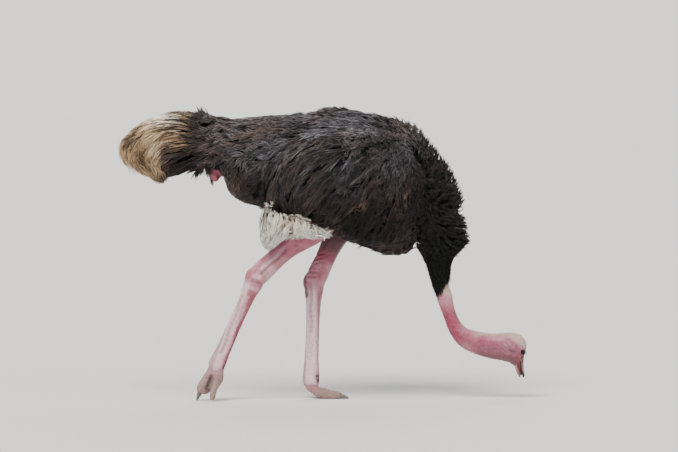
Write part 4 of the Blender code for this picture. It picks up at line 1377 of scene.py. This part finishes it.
def finer(obj, where):
    """The faces whose centres are there, each divided in four."""
    mesh = obj.data
    centres = read(mesh.polygons, "center", 3)
    select_only(obj)
    bpy.ops.object.mode_set(mode="EDIT")
    bpy.ops.mesh.select_mode(type="FACE")
    bpy.ops.mesh.select_all(action="DESELECT")
    bpy.ops.object.mode_set(mode="OBJECT")
    mesh.polygons.foreach_set("select", where(centres))
    bpy.ops.object.mode_set(mode="EDIT")
    bpy.ops.mesh.subdivide(number_cuts=1)
    bpy.ops.object.mode_set(mode="OBJECT")


def on_face(centres):
    return (centres[:, 0] > 0.846) & (centres[:, 2] < 0.262)


def near_eyes(centres):
    x, y, z = centres.T
    return (x > 0.862) & (z > 0.180) & (z < 0.246) & (np.abs(y) > 0.012)


def shrunk(mesh, masks):
    """Draws the mesh in by the plumage's depth at each place. Returns how deep each point went."""
    count = len(mesh.vertices)
    depth = np.zeros(count)
    for node, value in SKIN_DEPTH.items():
        depth[masks[node]] = value
    depth = spread_over(mesh, depth, 40)
    free = np.clip(depth / 0.012, 0, 1)[:, None]
    write_points(mesh, spread_over(mesh, points_of(mesh), 3))
    steps = 8
    for _ in range(steps):
        normals = unit(spread_over(mesh, normals_of(mesh), 10))
        moved = points_of(mesh) - normals * (depth / steps)[:, None]
        relaxed = spread_over(mesh, moved, 8)
        write_points(mesh, moved + (relaxed - moved) * free)
    return depth


def plain_skin(nodes, finder):
    """The skin's plain form: drawn in under the plumage, smooth where it is bare, and finer on the face."""
    skin = union_of_nodes("skin", nodes, FINE)
    mesh = skin.data
    depth = shrunk(mesh, finder.masks(points_of(mesh)))
    points = points_of(mesh)
    bare = (1 - ramp(depth, 0.001, 0.006))[:, None]
    smoothed = kept_smooth(mesh, points, 10)
    joints = sum(bump_round(points, leg.toes + (0, 0, 0.004), 0.045) for leg in LEGS.values())
    blended = spread_over(mesh, smoothed, 16)
    smoothed = smoothed + (blended - smoothed) * np.clip(1.3 * joints, 0, 1)[:, None]
    write_points(mesh, points + (smoothed - points) * bare)
    group = skin.vertex_groups.new(name="under_coat")
    group.add(np.flatnonzero(depth > 0.018).tolist(), 1.0, "REPLACE")
    limbs = (depth < 0.001) & (points[:, 2] > 0.20) & (points[:, 0] < 0.80)
    group.add(np.flatnonzero(limbs).tolist(), 0.35, "REPLACE")
    apply_modifier(skin, "DECIMATE", vertex_group="under_coat", ratio=0.27)
    finer(skin, on_face)
    finer(skin, near_eyes)
    return skin


def give_relief(mesh, points, masks):
    """Gives the skin its tendons, folds, face and lids. Returns its new points."""
    normals = normals_of(mesh)
    relief = leg_relief(points, masks) + face_relief(points) * (points[:, 0] > 0.80) + neck_relief(points)
    relief += vent_relief(points, masks)
    relief -= 0.0040 * np.clip(2 * sum(masks[node] for node in HORN_NODES), 0, 1)
    points = opened_eyes(points + normals * relief[:, None])
    points[:, 2] = np.maximum(points[:, 2], 0.0)
    write_points(mesh, points)
    return points


def give_markings(mesh, points, masks):
    """Writes what the skin's material reads: its cover of feathers, its colours and how it lies."""
    cover = np.clip(sum(masks[node] for node in (*BODY_NODES, "tail_plumes")), 0, 1)
    neck = masks["neck_sleeve"] + masks["neck_stem"]
    cover = cover * (1 - neck) + sleeve_cover(points) * neck
    set_attribute(mesh, "coat_cover", "FLOAT", np.clip(cover - vent_share(points, masks), 0, 1))
    marks, tints = skin_markings(points, masks)
    set_attribute(mesh, "skin_marks", "FLOAT_COLOR", marks)
    set_attribute(mesh, "skin_tints", "FLOAT_COLOR", tints)
    set_attribute(mesh, "skin_lie", "FLOAT_VECTOR", skin_lie(points, masks))


def build_skin(settings):
    """The one skin, with its relief, its markings and its material."""
    nodes = (*SKIN_NODES, "tail_plumes", *HORN_NODES, *EYE_NODES)
    finder = NodeFinder(nodes)
    skin = plain_skin(nodes, finder)
    mesh = skin.data
    points = points_of(mesh)
    nearest = finder.masks(points)
    face = on_face(points).astype(float)[:, None]
    points = points + (kept_smooth(mesh, points, 6) - points) * face
    masks = {name: spread_over(mesh, mask.astype(float), 3) for name, mask in nearest.items()}
    write_points(mesh, points)
    points = give_relief(mesh, points, masks)
    give_markings(mesh, points, masks)
    mesh.shade_smooth()
    mesh.materials.clear()
    mesh.materials.append(skin_material(settings))
    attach(skin, "root")
    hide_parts(*SKIN_NODES)
    tell_size(skin)


# ---- Bill, claws, eyes and lashes -------------------------------------------------------------------


def build_horn(node, material):
    """One half of the bill, or one claw, smoothed from its solid."""
    horn = union_of_nodes(f"horn_{node}", (node,), HORN_GRID, 0.0)
    mesh = horn.data
    points = kept_smooth(mesh, points_of(mesh), 14)
    write_points(mesh, points)
    x, y, z = points.T
    marks = np.zeros((len(points), 4))
    if node == "bill_lower":
        # Painted shade along the gap of the mouth.
        marks[:, 1] = 0.9 * mouth_share(points)
    if node == "bill_upper":
        mirrored = np.stack([x, np.abs(y), z], axis=1)
        nostril = bump_round(mirrored, (0.897, 0.022, 0.172), (0.0030, 0.012, 0.0085))
        nail = ramp(-z, -0.116, -0.104) * ramp(x, 0.8975, 0.9005)
        lip = hill(x - 0.8965 + 0.10 * (z - 0.12), 0, 0.0018) * ramp(-z, -0.17, -0.15)
        relief = 0.0007 * nail - 0.0030 * nostril + 0.0006 * lip
        write_points(mesh, points + normals_of(mesh) * relief[:, None])
        # The upper half is browner, but its front ridge keeps the paler horn as a painted highlight.
        marks[:, 0] = 0.80 * ramp(-x, -0.905, -0.899)
        # The dark nail, and painted shade in the nostrils and along the gap of the mouth.
        marks[:, 1] = np.maximum.reduce([0.8 * ramp(nostril, 0.30, 0.60), nail, 0.9 * mouth_share(points)])
    set_attribute(mesh, "horn_marks", "FLOAT_COLOR", marks)
    mesh.shade_smooth()
    mesh.materials.clear()
    mesh.materials.append(material)
    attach(horn, "root")
    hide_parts(node)


def eye_place(side):
    """The centre and the radius of an eye."""
    ball = node_points(f"eye_{side}")
    return (ball.max(axis=0) + ball.min(axis=0)) / 2, np.ptp(ball, axis=0).max() / 2


def build_eye(side, outward, material):
    """An eyeball with a slightly raised cornea."""
    centre, radius = eye_place(side)
    bpy.ops.mesh.primitive_uv_sphere_add(segments=72, ring_count=36, radius=radius, location=centre)
    ball = bpy.context.active_object
    ball.name = f"eyeball_{side}"
    ball.data.name = ball.name
    bpy.ops.object.transform_apply(location=True, rotation=True, scale=True)
    points = points_of(ball.data)
    way = (points - centre) / radius
    facing = way @ unit(np.array(EYE_LOOK) * (1, outward, 1))
    write_points(ball.data, points + way * (0.0006 * ramp(facing, 0.88, 0.97))[:, None])
    ball.data.shade_smooth()
    ball.data.materials.append(material)
    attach(ball, "root")
    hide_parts(f"eye_{side}")


def eye_axes(outward):
    """The way the lids face, the way from their upper corner to the lower, and the way across them."""
    look = unit(np.array(EYE_LOOK) * (1, outward, 1))
    long = np.array(EYE_LONG)
    long = unit(long - (long @ look) * look)
    short = np.cross(look, long)
    return look, long, short


def build_lashes(material):
    """Long dark bristles along the front lid of each eye."""
    rng = np.random.default_rng(81)
    parts = []
    for side, outward in SIDES:
        centre, radius = eye_place(side)
        look, long, short = eye_axes(outward)
        front = short if short[0] > 0 else -short
        share = np.linspace(-0.85, 0.80, LASHES) + rng.normal(0, 0.03, LASHES)
        across = LID_GAP[1] * 1.06 * np.sqrt(np.clip(1 - share**2, 0.05, 1))
        way = unit(look + np.outer(share * LID_GAP[0], long) + np.outer(across, front))
        root = centre + (radius + 0.0012) * way
        length = rng.uniform(0.008, 0.013, LASHES)[:, None]
        lean = unit(way * 0.5 + 0.9 * front + np.outer(0.5 * share, long) + 0.25 * look)
        t = np.linspace(0, 1, 4)[None, :, None]
        arc = t * lean[:, None] + 0.22 * t**2 * look - 0.10 * t**2 * front
        curve = root[:, None] + length[:, None] * arc
        sides = np.broadcast_to(long, curve.shape)
        normals = unit(np.cross(lean[:, None] + 0 * curve, sides))
        widths = rng.uniform(0.0006, 0.0009, LASHES)
        dark = np.zeros((LASHES, 4))
        parts.append((curve, sides, normals, widths, dark, rng.normal(0, 0.5, LASHES)))
    coat_piece("lashes", parts, material)


# ---- Settings --------------------------------------------------------------------------------------


def colour_setting(name, description, default):
    return bpy.props.FloatVectorProperty(
        name=name, description=description, default=default, size=3, min=0, max=1, subtype="COLOR"
    )


class SkinSettings(bpy.types.PropertyGroup):
    """Colours of the bare skin."""

    pink: colour_setting("Pink", "Bare skin", (0.37, 0.106, 0.146))
    pale_pink: colour_setting("Pale pink", "Lighter mottling", (0.49, 0.232, 0.265))
    flush: colour_setting("Flush", "Flushed places", (0.28, 0.040, 0.078))
    # Grey is also the painted highlight on ridges of the face and the legs.
    grey: colour_setting("Grey", "Greyer places", (0.80, 0.585, 0.62))
    mauve: colour_setting("Mauve", "Cheeks and throat", (0.23, 0.076, 0.106))
    red: colour_setting("Red", "Fold behind the mouth", (0.23, 0.034, 0.040))
    # Brown is also painted shade in creases and folds, the ear, under the throat and between the toes.
    brown: colour_setting("Brown", "Callus, toes and ear", (0.105, 0.050, 0.046))
    down: colour_setting("Down", "Beige down on the crown and nape", (0.52, 0.41, 0.335))
    shadow: colour_setting("Shadow", "In the folds", (0.20, 0.075, 0.095))
    # Also the painted shade in the mouth, the ear, between the raised toes and on the top of the left shin.
    dark_scale_and_shade: colour_setting("Dark scale", "Scutes over the toes", (0.012, 0.010, 0.020))
    # Painted shade under the plumage, seen through the gaps between the locks.
    under_coat: colour_setting("Under the coat", "Down between the feathers", (0.004, 0.0035, 0.0035))


class HornSettings(bpy.types.PropertyGroup):
    """Colours of the bill, the claws and the eyes."""

    bill: colour_setting("Bill", "Horn by the face", (0.37, 0.130, 0.130))
    bill_pale: colour_setting("Pale bill", "Lighter streaks", (0.48, 0.23, 0.22))
    bill_upper: colour_setting("Upper bill", "Browner horn of the upper half", (0.27, 0.110, 0.092))
    bill_tip: colour_setting("Bill tip", "Horn at the tips", (0.22, 0.155, 0.125))
    claw: colour_setting("Claw", "Dark horn", (0.060, 0.050, 0.045))
    claw_pale: colour_setting("Pale claw", "Worn streaks", (0.22, 0.19, 0.16))
    iris: colour_setting("Iris", "Brown ring", (0.011, 0.0045, 0.003))
    iris_dark: colour_setting("Dark iris", "Darker ring", (0.003, 0.002, 0.0015))
    # Also the painted shade in the nostrils and along the gap of the mouth.
    dark_scale_and_shade: colour_setting("Dark horn", "Nail and nostrils", (0.018, 0.012, 0.012))


class CoatSettings(bpy.types.PropertyGroup):
    """Colours of the plumage."""

    black: colour_setting("Black", "Ground colour of the body plumage", (0.0075, 0.0060, 0.0066))
    brown: colour_setting("Brown", "Brown locks", (0.100, 0.060, 0.040))
    # Painted sheen: the grey-blue highlight on the tips, laid on more thickly on the upper plumage.
    painted_sheen: colour_setting("Bloom", "Grey-blue tips", (0.240, 0.225, 0.255))
    tan: colour_setting("Tan", "Tail plumes", (0.52, 0.350, 0.195))
    white: colour_setting("White", "Wing plumes", (0.94, 0.92, 0.84))


class StageSettings(bpy.types.PropertyGroup):
    """Floor, light and camera."""

    floor: colour_setting("Floor", "Colour of the floor", (0.72, 0.71, 0.69))
    elevation: bpy.props.FloatProperty(
        name="Elevation",
        description="Camera angle over the horizon",
        default=math.radians(4),
        subtype="ANGLE",
    )
    distance: bpy.props.FloatProperty(
        name="Distance", description="From the camera to the bird", default=26.0, unit="LENGTH"
    )
    view_width: bpy.props.FloatProperty(
        name="View width", description="Width of the view at the bird", default=3.051, unit="LENGTH"
    )


# ---- Floor, lights and camera ----------------------------------------------------------------------

SENSOR = 36.0  # width of the camera's sensor, in millimetres
# Each light's name, its place, how wide it looks in degrees, its strength and its colour.
LIGHTS = (
    ("key", (-2.0, -4.0, 7.0), 36.0, 4.2, (1.0, 0.985, 0.96)),
    ("fill", (5.0, -6.0, 3.0), 60.0, 0.7, (0.93, 0.96, 1.0)),
    ("back", (1.0, 6.5, 6.0), 50.0, 1.2, (1.0, 0.99, 0.97)),
)


def make_floor(settings):
    bpy.ops.object.select_all(action="DESELECT")
    bpy.ops.mesh.primitive_circle_add(vertices=96, radius=160, fill_type="NGON", location=(0, 0, 0))
    floor = bpy.context.active_object
    floor.name = "floor"
    n = Nodes("pale_floor")
    patches = n.spread(n.noise(0.8, 2.0), 0.3, 0.7, 0.0, 0.10)
    shade = n.mix(patches, settings.floor, (0.6, 0.59, 0.57))
    n.set(Base_Color=shade, Roughness=0.9)
    floor.data.materials.append(n.material)


def make_lights():
    """Three soft lights and the pale light all round."""
    for name, place, width, power, tint in LIGHTS:
        data = bpy.data.lights.new(name, "SUN")
        data.angle = math.radians(width)
        data.energy = power
        data.color = tint
        lamp = bpy.data.objects.new(name, data)
        lamp.location = place
        lamp.rotation_euler = (-Vector(place)).to_track_quat("-Z", "Y").to_euler()
        bpy.context.scene.collection.objects.link(lamp)
    world = bpy.data.worlds.new("studio")
    world.use_nodes = True
    world.node_tree.nodes["Background"].inputs["Color"].default_value = (0.86, 0.88, 0.90, 1)
    world.node_tree.nodes["Background"].inputs["Strength"].default_value = 0.60
    bpy.context.scene.world = world


def make_camera(settings):
    """A long lens on the bird's right side, a little over its height."""
    low, high = (Vector(corner) for corner in CAD_BOX)
    target = Vector(((low.x + high.x) / 2 + 0.0717, 0, 0.779))
    data = bpy.data.cameras.new("camera")
    data.sensor_width = SENSOR
    data.lens = SENSOR * settings.distance / settings.view_width
    data.clip_end = 400
    camera = bpy.data.objects.new("camera", data)
    away = Vector((0, -math.cos(settings.elevation), math.sin(settings.elevation)))
    camera.location = target + away * settings.distance
    camera.rotation_euler = (-away).to_track_quat("-Z", "Y").to_euler()
    bpy.context.scene.collection.objects.link(camera)
    bpy.context.scene.camera = camera


# ---- Operators -------------------------------------------------------------------------------------


class OSTRICH_OT_stage(bpy.types.Operator):
    """Makes the floor, the soft lights and the camera"""

    bl_idname = "ostrich.stage"
    bl_label = "Stage"

    def execute(self, context):
        settings = context.scene.ostrich_stage
        make_floor(settings)
        make_lights()
        make_camera(settings)
        return {"FINISHED"}


class OSTRICH_OT_skin(bpy.types.Operator):
    """Makes the one skin that lies inside the solids of flesh"""

    bl_idname = "ostrich.skin"
    bl_label = "Skin"

    def execute(self, context):
        build_skin(context.scene.ostrich_skin)
        return {"FINISHED"}


class OSTRICH_OT_horn(bpy.types.Operator):
    """Makes the smooth, grained horn of the bill and the claws"""

    bl_idname = "ostrich.horn"
    bl_label = "Bill and claws"

    def execute(self, context):
        settings = context.scene.ostrich_horn
        bill, claw = bill_material(settings), claw_material(settings)
        for node in HORN_NODES:
            build_horn(node, bill if node.startswith("bill") else claw)
        return {"FINISHED"}


class OSTRICH_OT_eyes(bpy.types.Operator):
    """Makes the two wet eyes"""

    bl_idname = "ostrich.eyes"
    bl_label = "Eyes"

    def execute(self, context):
        for side, outward in SIDES:
            build_eye(side, outward, eye_material(context.scene.ostrich_horn, side, outward))
        return {"FINISHED"}


class OSTRICH_OT_down(bpy.types.Operator):
    """Grows the short down of the crown and the nape, and the lashes"""

    bl_idname = "ostrich.down"
    bl_label = "Down and lashes"

    def execute(self, context):
        material = coat_material("head_down", context.scene.ostrich_coat, 0.70, 0.22)
        down = [
            (("head", "neck_throat", "neck_bend"), 0.0036, DOWN, HEAD_LIE, beige_share, 71),
            (("head", "neck_throat", "neck_bend", "neck_stem"), 0.0120, BRISTLE, HEAD_LIE, None, 72),
        ]
        grow("down_head", down, material, (), skin_form(), down_marks)
        build_lashes(coat_material("lashes", context.scene.ostrich_coat, 0.40))
        return {"FINISHED"}


# The kinds of feather. The body's are loose and shaggy, the neck's pointed, and the tail's long.
SHAGGY = Feather(
    length=(0.08, 0.13), barbs=13, reach=0.019, run=0.62, width=0.0036, depth=0.022, lift=0.0,
    stray=0.26, frizz=0.5, ruffle=0.006, hollow=0.008, swirl=0.4,
)
LONG_STREAK = Feather(
    length=(0.14, 0.23), barbs=12, reach=0.012, run=0.5, width=0.0030, depth=0.014, lift=0.001,
    stray=0.12, frizz=0.3, gather=0.55, droop=0.06, ruffle=0.005,
)
FRIZZY = Feather(
    length=(0.04, 0.07), barbs=11, reach=0.018, run=0.55, width=0.0034, depth=0.02, lift=0.003,
    stray=0.5, frizz=0.9, gather=0.2, ruffle=0.004, hollow=0.004, swirl=0.5,
)
POINTED = Feather(
    length=(0.08, 0.13), barbs=9, reach=0.012, run=0.6, width=0.0036, depth=0.034, lift=-0.004,
    stray=0.16, frizz=0.16, gather=0.85, stand=0.18, ruffle=0.006, hollow=0.012,
)
GROUND = Feather(
    length=(0.07, 0.10), barbs=9, reach=0.014, run=0.5, width=0.0050, depth=0.046, lift=-0.036,
    stray=0.16, frizz=0.14, gather=0.7, stand=0.15, ruffle=0.005, knots=3,
)
SPIKE = Feather(
    length=(0.10, 0.16), barbs=8, reach=0.009, run=0.6, width=0.0038, depth=0.050, lift=0.016,
    stray=0.10, frizz=0.1, gather=0.97, stand=0.5, ruffle=0.002, hollow=0.004, swirl=0.15,
)
VELVET = Feather(
    length=(0.016, 0.026), barbs=5, reach=0.0034, run=0.5, width=0.0024, depth=0.006, lift=0.0,
    stray=0.16, frizz=0.2, gather=0.3, ruffle=0.0008, knots=3, hollow=0.001, swirl=0.1,
)
SHORT = Feather(
    length=(0.030, 0.045), barbs=8, reach=0.011, run=0.6, width=0.0044, depth=0.010, lift=-0.004,
    stray=0.30, frizz=0.3, gather=0.3, ruffle=0.002, knots=3, hollow=0.003, swirl=0.3,
)
TUFT = Feather(
    length=(0.070, 0.110), barbs=9, reach=0.010, run=0.6, width=0.0028, depth=0.020, lift=0.010,
    stray=0.25, frizz=0.12, gather=0.85, stand=0.2, ruffle=0.003, hollow=0.003,
)
ERECT = Feather(
    length=(0.05, 0.08), barbs=9, reach=0.007, run=0.6, width=0.0028, depth=0.010, lift=0.026,
    stray=0.3, frizz=0.12, gather=0.97, stand=0.50, ruffle=0.003, hollow=0.003, swirl=0.2,
)
HANGING = Feather(
    length=(0.04, 0.07), barbs=9, reach=0.009, run=0.6, width=0.003, depth=0.012, lift=0.002, stray=0.3,
    frizz=0.2, gather=0.7, droop=0.6, stand=0.3, ruffle=0.003, hollow=0.003, swirl=0.3, hold=0.0,
)
COVERT = Feather(
    length=(0.13, 0.20), barbs=11, reach=0.011, run=0.6, width=0.0030, depth=0.032, lift=0.0,
    stray=0.07, frizz=0.1, gather=0.5, ruffle=0.007, hollow=0.010, swirl=0.14,
)
TAIL_PLUME = Feather(
    length=(0.10, 0.19), barbs=13, reach=0.018, run=0.6, width=0.0028, depth=0.042, lift=0.010,
    stray=0.26, frizz=0.6, gather=0.6, droop=0.12, ruffle=0.010, hollow=0.014, swirl=0.55, hold=0.32,
)
UNDER_PLUME = Feather(
    length=(0.09, 0.15), barbs=9, reach=0.020, run=0.42, width=0.0065, depth=0.060, lift=-0.022,
    stray=0.20, frizz=0.2, gather=0.3, ruffle=0.006, knots=3,
)
WING_PLUME = Feather(
    length=(0.06, 0.11), barbs=12, reach=0.012, run=0.6, width=0.0021, depth=0.018, lift=0.0,
    stray=0.22, frizz=0.4, gather=0.55, droop=0.2, ruffle=0.007, hollow=0.010, swirl=0.4,
)
FRINGE = Feather(
    length=(0.03, 0.055), barbs=10, reach=0.010, run=0.6, width=0.0021, depth=0.006, lift=0.010,
    stray=0.35, frizz=0.5, gather=0.5, droop=0.1, stand=0.2, ruffle=0.004, hollow=0.003, swirl=0.4,
    hold=0.4,
)
DOWN = Feather(
    length=(0.006, 0.010), barbs=2, reach=0.0012, run=0.8, width=0.0005, depth=0.0005, lift=0.0010,
    stray=0.22, frizz=0.2, gather=0, ruffle=0.0001, knots=3, hollow=0.0, swirl=0.3,
)
BRISTLE = Feather(
    length=(0.005, 0.008), barbs=1, reach=0.0004, run=0.9, width=0.0004, depth=0.0005, lift=0.0016,
    stray=0.25, frizz=0.2, gather=0, stand=0.2, ruffle=0.0001, knots=3, hollow=0.0, swirl=0.2,
)


def sleeve_cover(points):
    """1 on the feathered part of the neck and 0 below its slanting border."""
    x, _, z = points.T
    return ramp((z - 0.450 - 1.46 * (x - 0.513)) / 1.77, -0.012, 0.014)


def near_thighs(points):
    """1 under the belly, where the thighs are bare and the plumage is short."""
    x, _, z = points.T
    return ramp(x, -0.27, -0.17) * ramp(-x, -0.17, -0.09) * ramp(-z, -0.86, -0.80)


class OSTRICH_OT_body_plumage(bpy.types.Operator):
    """Grows the shaggy black plumage of the rump and the back"""

    bl_idname = "ostrich.body_plumage"
    bl_label = "Body plumage"

    def execute(self, context):
        material = coat_material("body_plumage", context.scene.ostrich_coat, 0.50)

        def crest(points):
            return bump_round(points, (0.085, 0.0, 1.300), (0.030, 0.060, 0.030))

        def away_from_thighs(points):
            return 1 - near_thighs(points)

        rump = [
            (("rump",), 0.0270, SHAGGY, BODY_LIE, away_from_thighs, 11),
            (("rump",), 0.0140, SHORT, BODY_LIE, near_thighs, 14),
        ]
        back = [
            (("trunk",), 0.0274, SHAGGY, BODY_LIE, away_from_thighs, 12),
            (("trunk",), 0.0140, SHORT, BODY_LIE, near_thighs, 15),
            (("trunk",), 0.011, TUFT, BODY_LIE, crest, 13),
        ]
        grow("plumage_rump", rump, material)
        grow("plumage_back", back, material)
        return {"FINISHED"}


class OSTRICH_OT_wing_plumage(bpy.types.Operator):
    """Grows the plumage of the two folded wings: long streaks behind, and frizzy feathers in front"""

    bl_idname = "ostrich.wing_plumage"
    bl_label = "Wing plumage"

    def execute(self, context):
        material = coat_material("wing_plumage", context.scene.ostrich_coat, 0.46)

        def front(points):
            return ramp(points[:, 0] - 0.5 * (points[:, 2] - 1.0), 0.00, 0.10)

        def rear(points):
            return 1 - 0.75 * front(points)

        for side, outward in SIDES:
            node = (f"wing_{side}",)
            batches = [
                (node, 0.0368, SHAGGY, WING_LIE, rear, 30 + outward),
                (node, 0.0360, LONG_STREAK, WING_LIE, rear, 33 + outward),
                (node, 0.0282, FRIZZY, WING_LIE, front, 36 + outward),
            ]
            grow(f"plumage_wing_{side}", batches, material)
        return {"FINISHED"}


class OSTRICH_OT_neck_plumage(bpy.types.Operator):
    """Grows the pointed plumage of the breast and the short one of the neck"""

    bl_idname = "ostrich.neck_plumage"
    bl_label = "Neck plumage"

    def execute(self, context):
        material = coat_material("neck_plumage", context.scene.ostrich_coat, 0.42)

        def front_edge(points):
            x, y, z = points.T
            reach = 0.560 - 0.50 * np.clip(z - 0.93, 0, 1)
            return ramp(x, reach - 0.06, reach) * ramp(-np.abs(y), -0.13, -0.08)

        def rows(points):
            angle = np.arctan2(points[:, 2] - 0.80, points[:, 0] - 0.20)
            return front_edge(points) * ramp(np.cos(75 * angle + 1.2 * np.sin(30 * points[:, 1])), 0.1, 0.5)

        def behind(points):
            return 1 - front_edge(points)

        def parting(points):
            x, _, z = points.T
            top = bump_round(points * (1, 0, 1), (0.330, 0, 1.130), (0.060, 1, 0.080))
            strip = ramp(-np.abs(x - 0.425 + 0.10 * (z - 0.950)), -0.075, -0.045)
            return top + strip * ramp(-z, -1.18, -1.13)

        breast = [
            (("breast",), 0.0206, POINTED, BREAST_LIE, behind, 41),
            (("breast", "trunk"), 0.0170, SHORT, BREAST_LIE, parting, 48),
            (("breast",), 0.0200, GROUND, BREAST_LIE, front_edge, 46),
            (("breast",), 0.0180, SPIKE, BREAST_LIE, rows, 42),
        ]
        hackles = [
            (("neck_hackles",), 0.0206, POINTED, BREAST_LIE, behind, 43),
            (("neck_hackles", "wing_left", "wing_right"), 0.0170, SHORT, BREAST_LIE, parting, 49),
            (("neck_hackles",), 0.0200, GROUND, BREAST_LIE, front_edge, 47),
            (("neck_hackles",), 0.0180, SPIKE, BREAST_LIE, rows, 44),
        ]
        sleeve = [(("neck_sleeve", "neck_stem"), 0.0080, VELVET, SLEEVE_LIE, sleeve_cover, 45)]
        grow("plumage_breast", breast, material)
        grow("plumage_hackles", hackles, material)
        grow("plumage_sleeve", sleeve, material)
        return {"FINISHED"}


class OSTRICH_OT_tail_plumage(bpy.types.Operator):
    """Grows the streaked coverts and the drooping plumes of the tail"""

    bl_idname = "ostrich.tail_plumage"
    bl_label = "Tail plumage"

    def execute(self, context):
        material = coat_material("tail_plumage", context.scene.ostrich_coat, 0.60, 0.75)

        def root_tuft(points):
            return bump_round(points, (-0.532, 0.0, 1.285), (0.014, 0.050, 0.024))

        def beside_vent(points):
            return bump_round(points, (-0.530, 0.0, 1.045), (0.018, 0.05, 0.030))

        coverts = [
            (("tail_coverts",), 0.0203, COVERT, TAIL_LIE, None, 51),
            (("rump", "tail_coverts"), 0.012, ERECT, CREST_LIE, root_tuft, 52),
            (("rump", "tail_coverts"), 0.011, HANGING, VENT_LIE, beside_vent, 55),
        ]
        plumes = [
            (("tail_plumes",), 0.0196, TAIL_PLUME, TAIL_LIE, None, 53),
            (("tail_plumes",), 0.028, UNDER_PLUME, TAIL_LIE, None, 54),
        ]
        grow("plumage_coverts", coverts, material)
        grow("tail_plume_locks", plumes, material, ("tail_plumes",))
        return {"FINISHED"}


# The lower back edge of a folded wing, as lines in (x, z).
WING_EDGE = (
    ((-0.268, 0.828), (-0.234, 0.885)),
    ((-0.260, 0.822), (-0.100, 0.830)),
    ((-0.100, 0.830), (-0.020, 0.780)),
)


def wing_edge(outward, points):
    """1 along the lower back edge of the wing on that side, and 0 away from it and under the belly."""
    along_edge = sum(hill(from_line(points, *line)[0], 0, 0.006) for line in WING_EDGE)
    return along_edge * ramp(outward * points[:, 1], 0.145, 0.170)


class OSTRICH_OT_wing_plumes(bpy.types.Operator):
    """Grows the white plumes that hang under the back of each wing"""

    bl_idname = "ostrich.wing_plumes"
    bl_label = "White wing plumes"

    def execute(self, context):
        material = coat_material("white_plumage", context.scene.ostrich_coat, 0.65, 0.32)
        for side, outward in SIDES:
            edge = partial(wing_edge, outward)
            node = (f"wing_plumes_{side}",)
            batches = [
                (node, 0.0206, WING_PLUME, PLUME_LIE, None, 60 + outward),
                (node, 0.032, UNDER_PLUME, PLUME_LIE, None, 63 + outward),
            ]
            form = outer_form(node)
            grow(f"white_plumes_{side}", batches, material, node, form, plume_marks)
            fringe = [((f"wing_{side}", "rump"), 0.0105, FRINGE, FRINGE_LIE, edge, 66 + outward)]
            grow(f"white_fringe_{side}", fringe, material, (), None, plume_marks)
        return {"FINISHED"}


class OSTRICH_PT_steps(bpy.types.Panel):
    """Lists the bird's settings and steps"""

    bl_idname = "OSTRICH_PT_steps"
    bl_label = "Ostrich"
    bl_space_type = "VIEW_3D"
    bl_region_type = "UI"
    bl_category = "Ostrich"

    def draw(self, context):
        scene = context.scene
        for group in (scene.ostrich_stage, scene.ostrich_skin, scene.ostrich_horn, scene.ostrich_coat):
            for name in group.__annotations__:
                self.layout.prop(group, name)
        for operator in STEPS:
            self.layout.operator(operator.bl_idname)


STEPS = (
    OSTRICH_OT_stage,
    OSTRICH_OT_skin,
    OSTRICH_OT_horn,
    OSTRICH_OT_eyes,
    OSTRICH_OT_body_plumage,
    OSTRICH_OT_wing_plumage,
    OSTRICH_OT_neck_plumage,
    OSTRICH_OT_tail_plumage,
    OSTRICH_OT_wing_plumes,
    OSTRICH_OT_down,
)
CLASSES = (SkinSettings, HornSettings, CoatSettings, StageSettings, *STEPS, OSTRICH_PT_steps)


def register():
    for cls in CLASSES:
        bpy.utils.register_class(cls)
    bpy.types.Scene.ostrich_skin = bpy.props.PointerProperty(type=SkinSettings)
    bpy.types.Scene.ostrich_horn = bpy.props.PointerProperty(type=HornSettings)
    bpy.types.Scene.ostrich_coat = bpy.props.PointerProperty(type=CoatSettings)
    bpy.types.Scene.ostrich_stage = bpy.props.PointerProperty(type=StageSettings)


def unregister():
    del bpy.types.Scene.ostrich_skin
    del bpy.types.Scene.ostrich_horn
    del bpy.types.Scene.ostrich_coat
    del bpy.types.Scene.ostrich_stage
    for cls in reversed(CLASSES):
        bpy.utils.unregister_class(cls)


def main():
    register()
    bpy.ops.ostrich.stage()
    bpy.ops.ostrich.skin()
    bpy.ops.ostrich.horn()
    bpy.ops.ostrich.eyes()
    bpy.ops.ostrich.body_plumage()
    bpy.ops.ostrich.wing_plumage()
    bpy.ops.ostrich.neck_plumage()
    bpy.ops.ostrich.tail_plumage()
    bpy.ops.ostrich.wing_plumes()
    bpy.ops.ostrich.down()


if __name__ == "__main__":
    main()
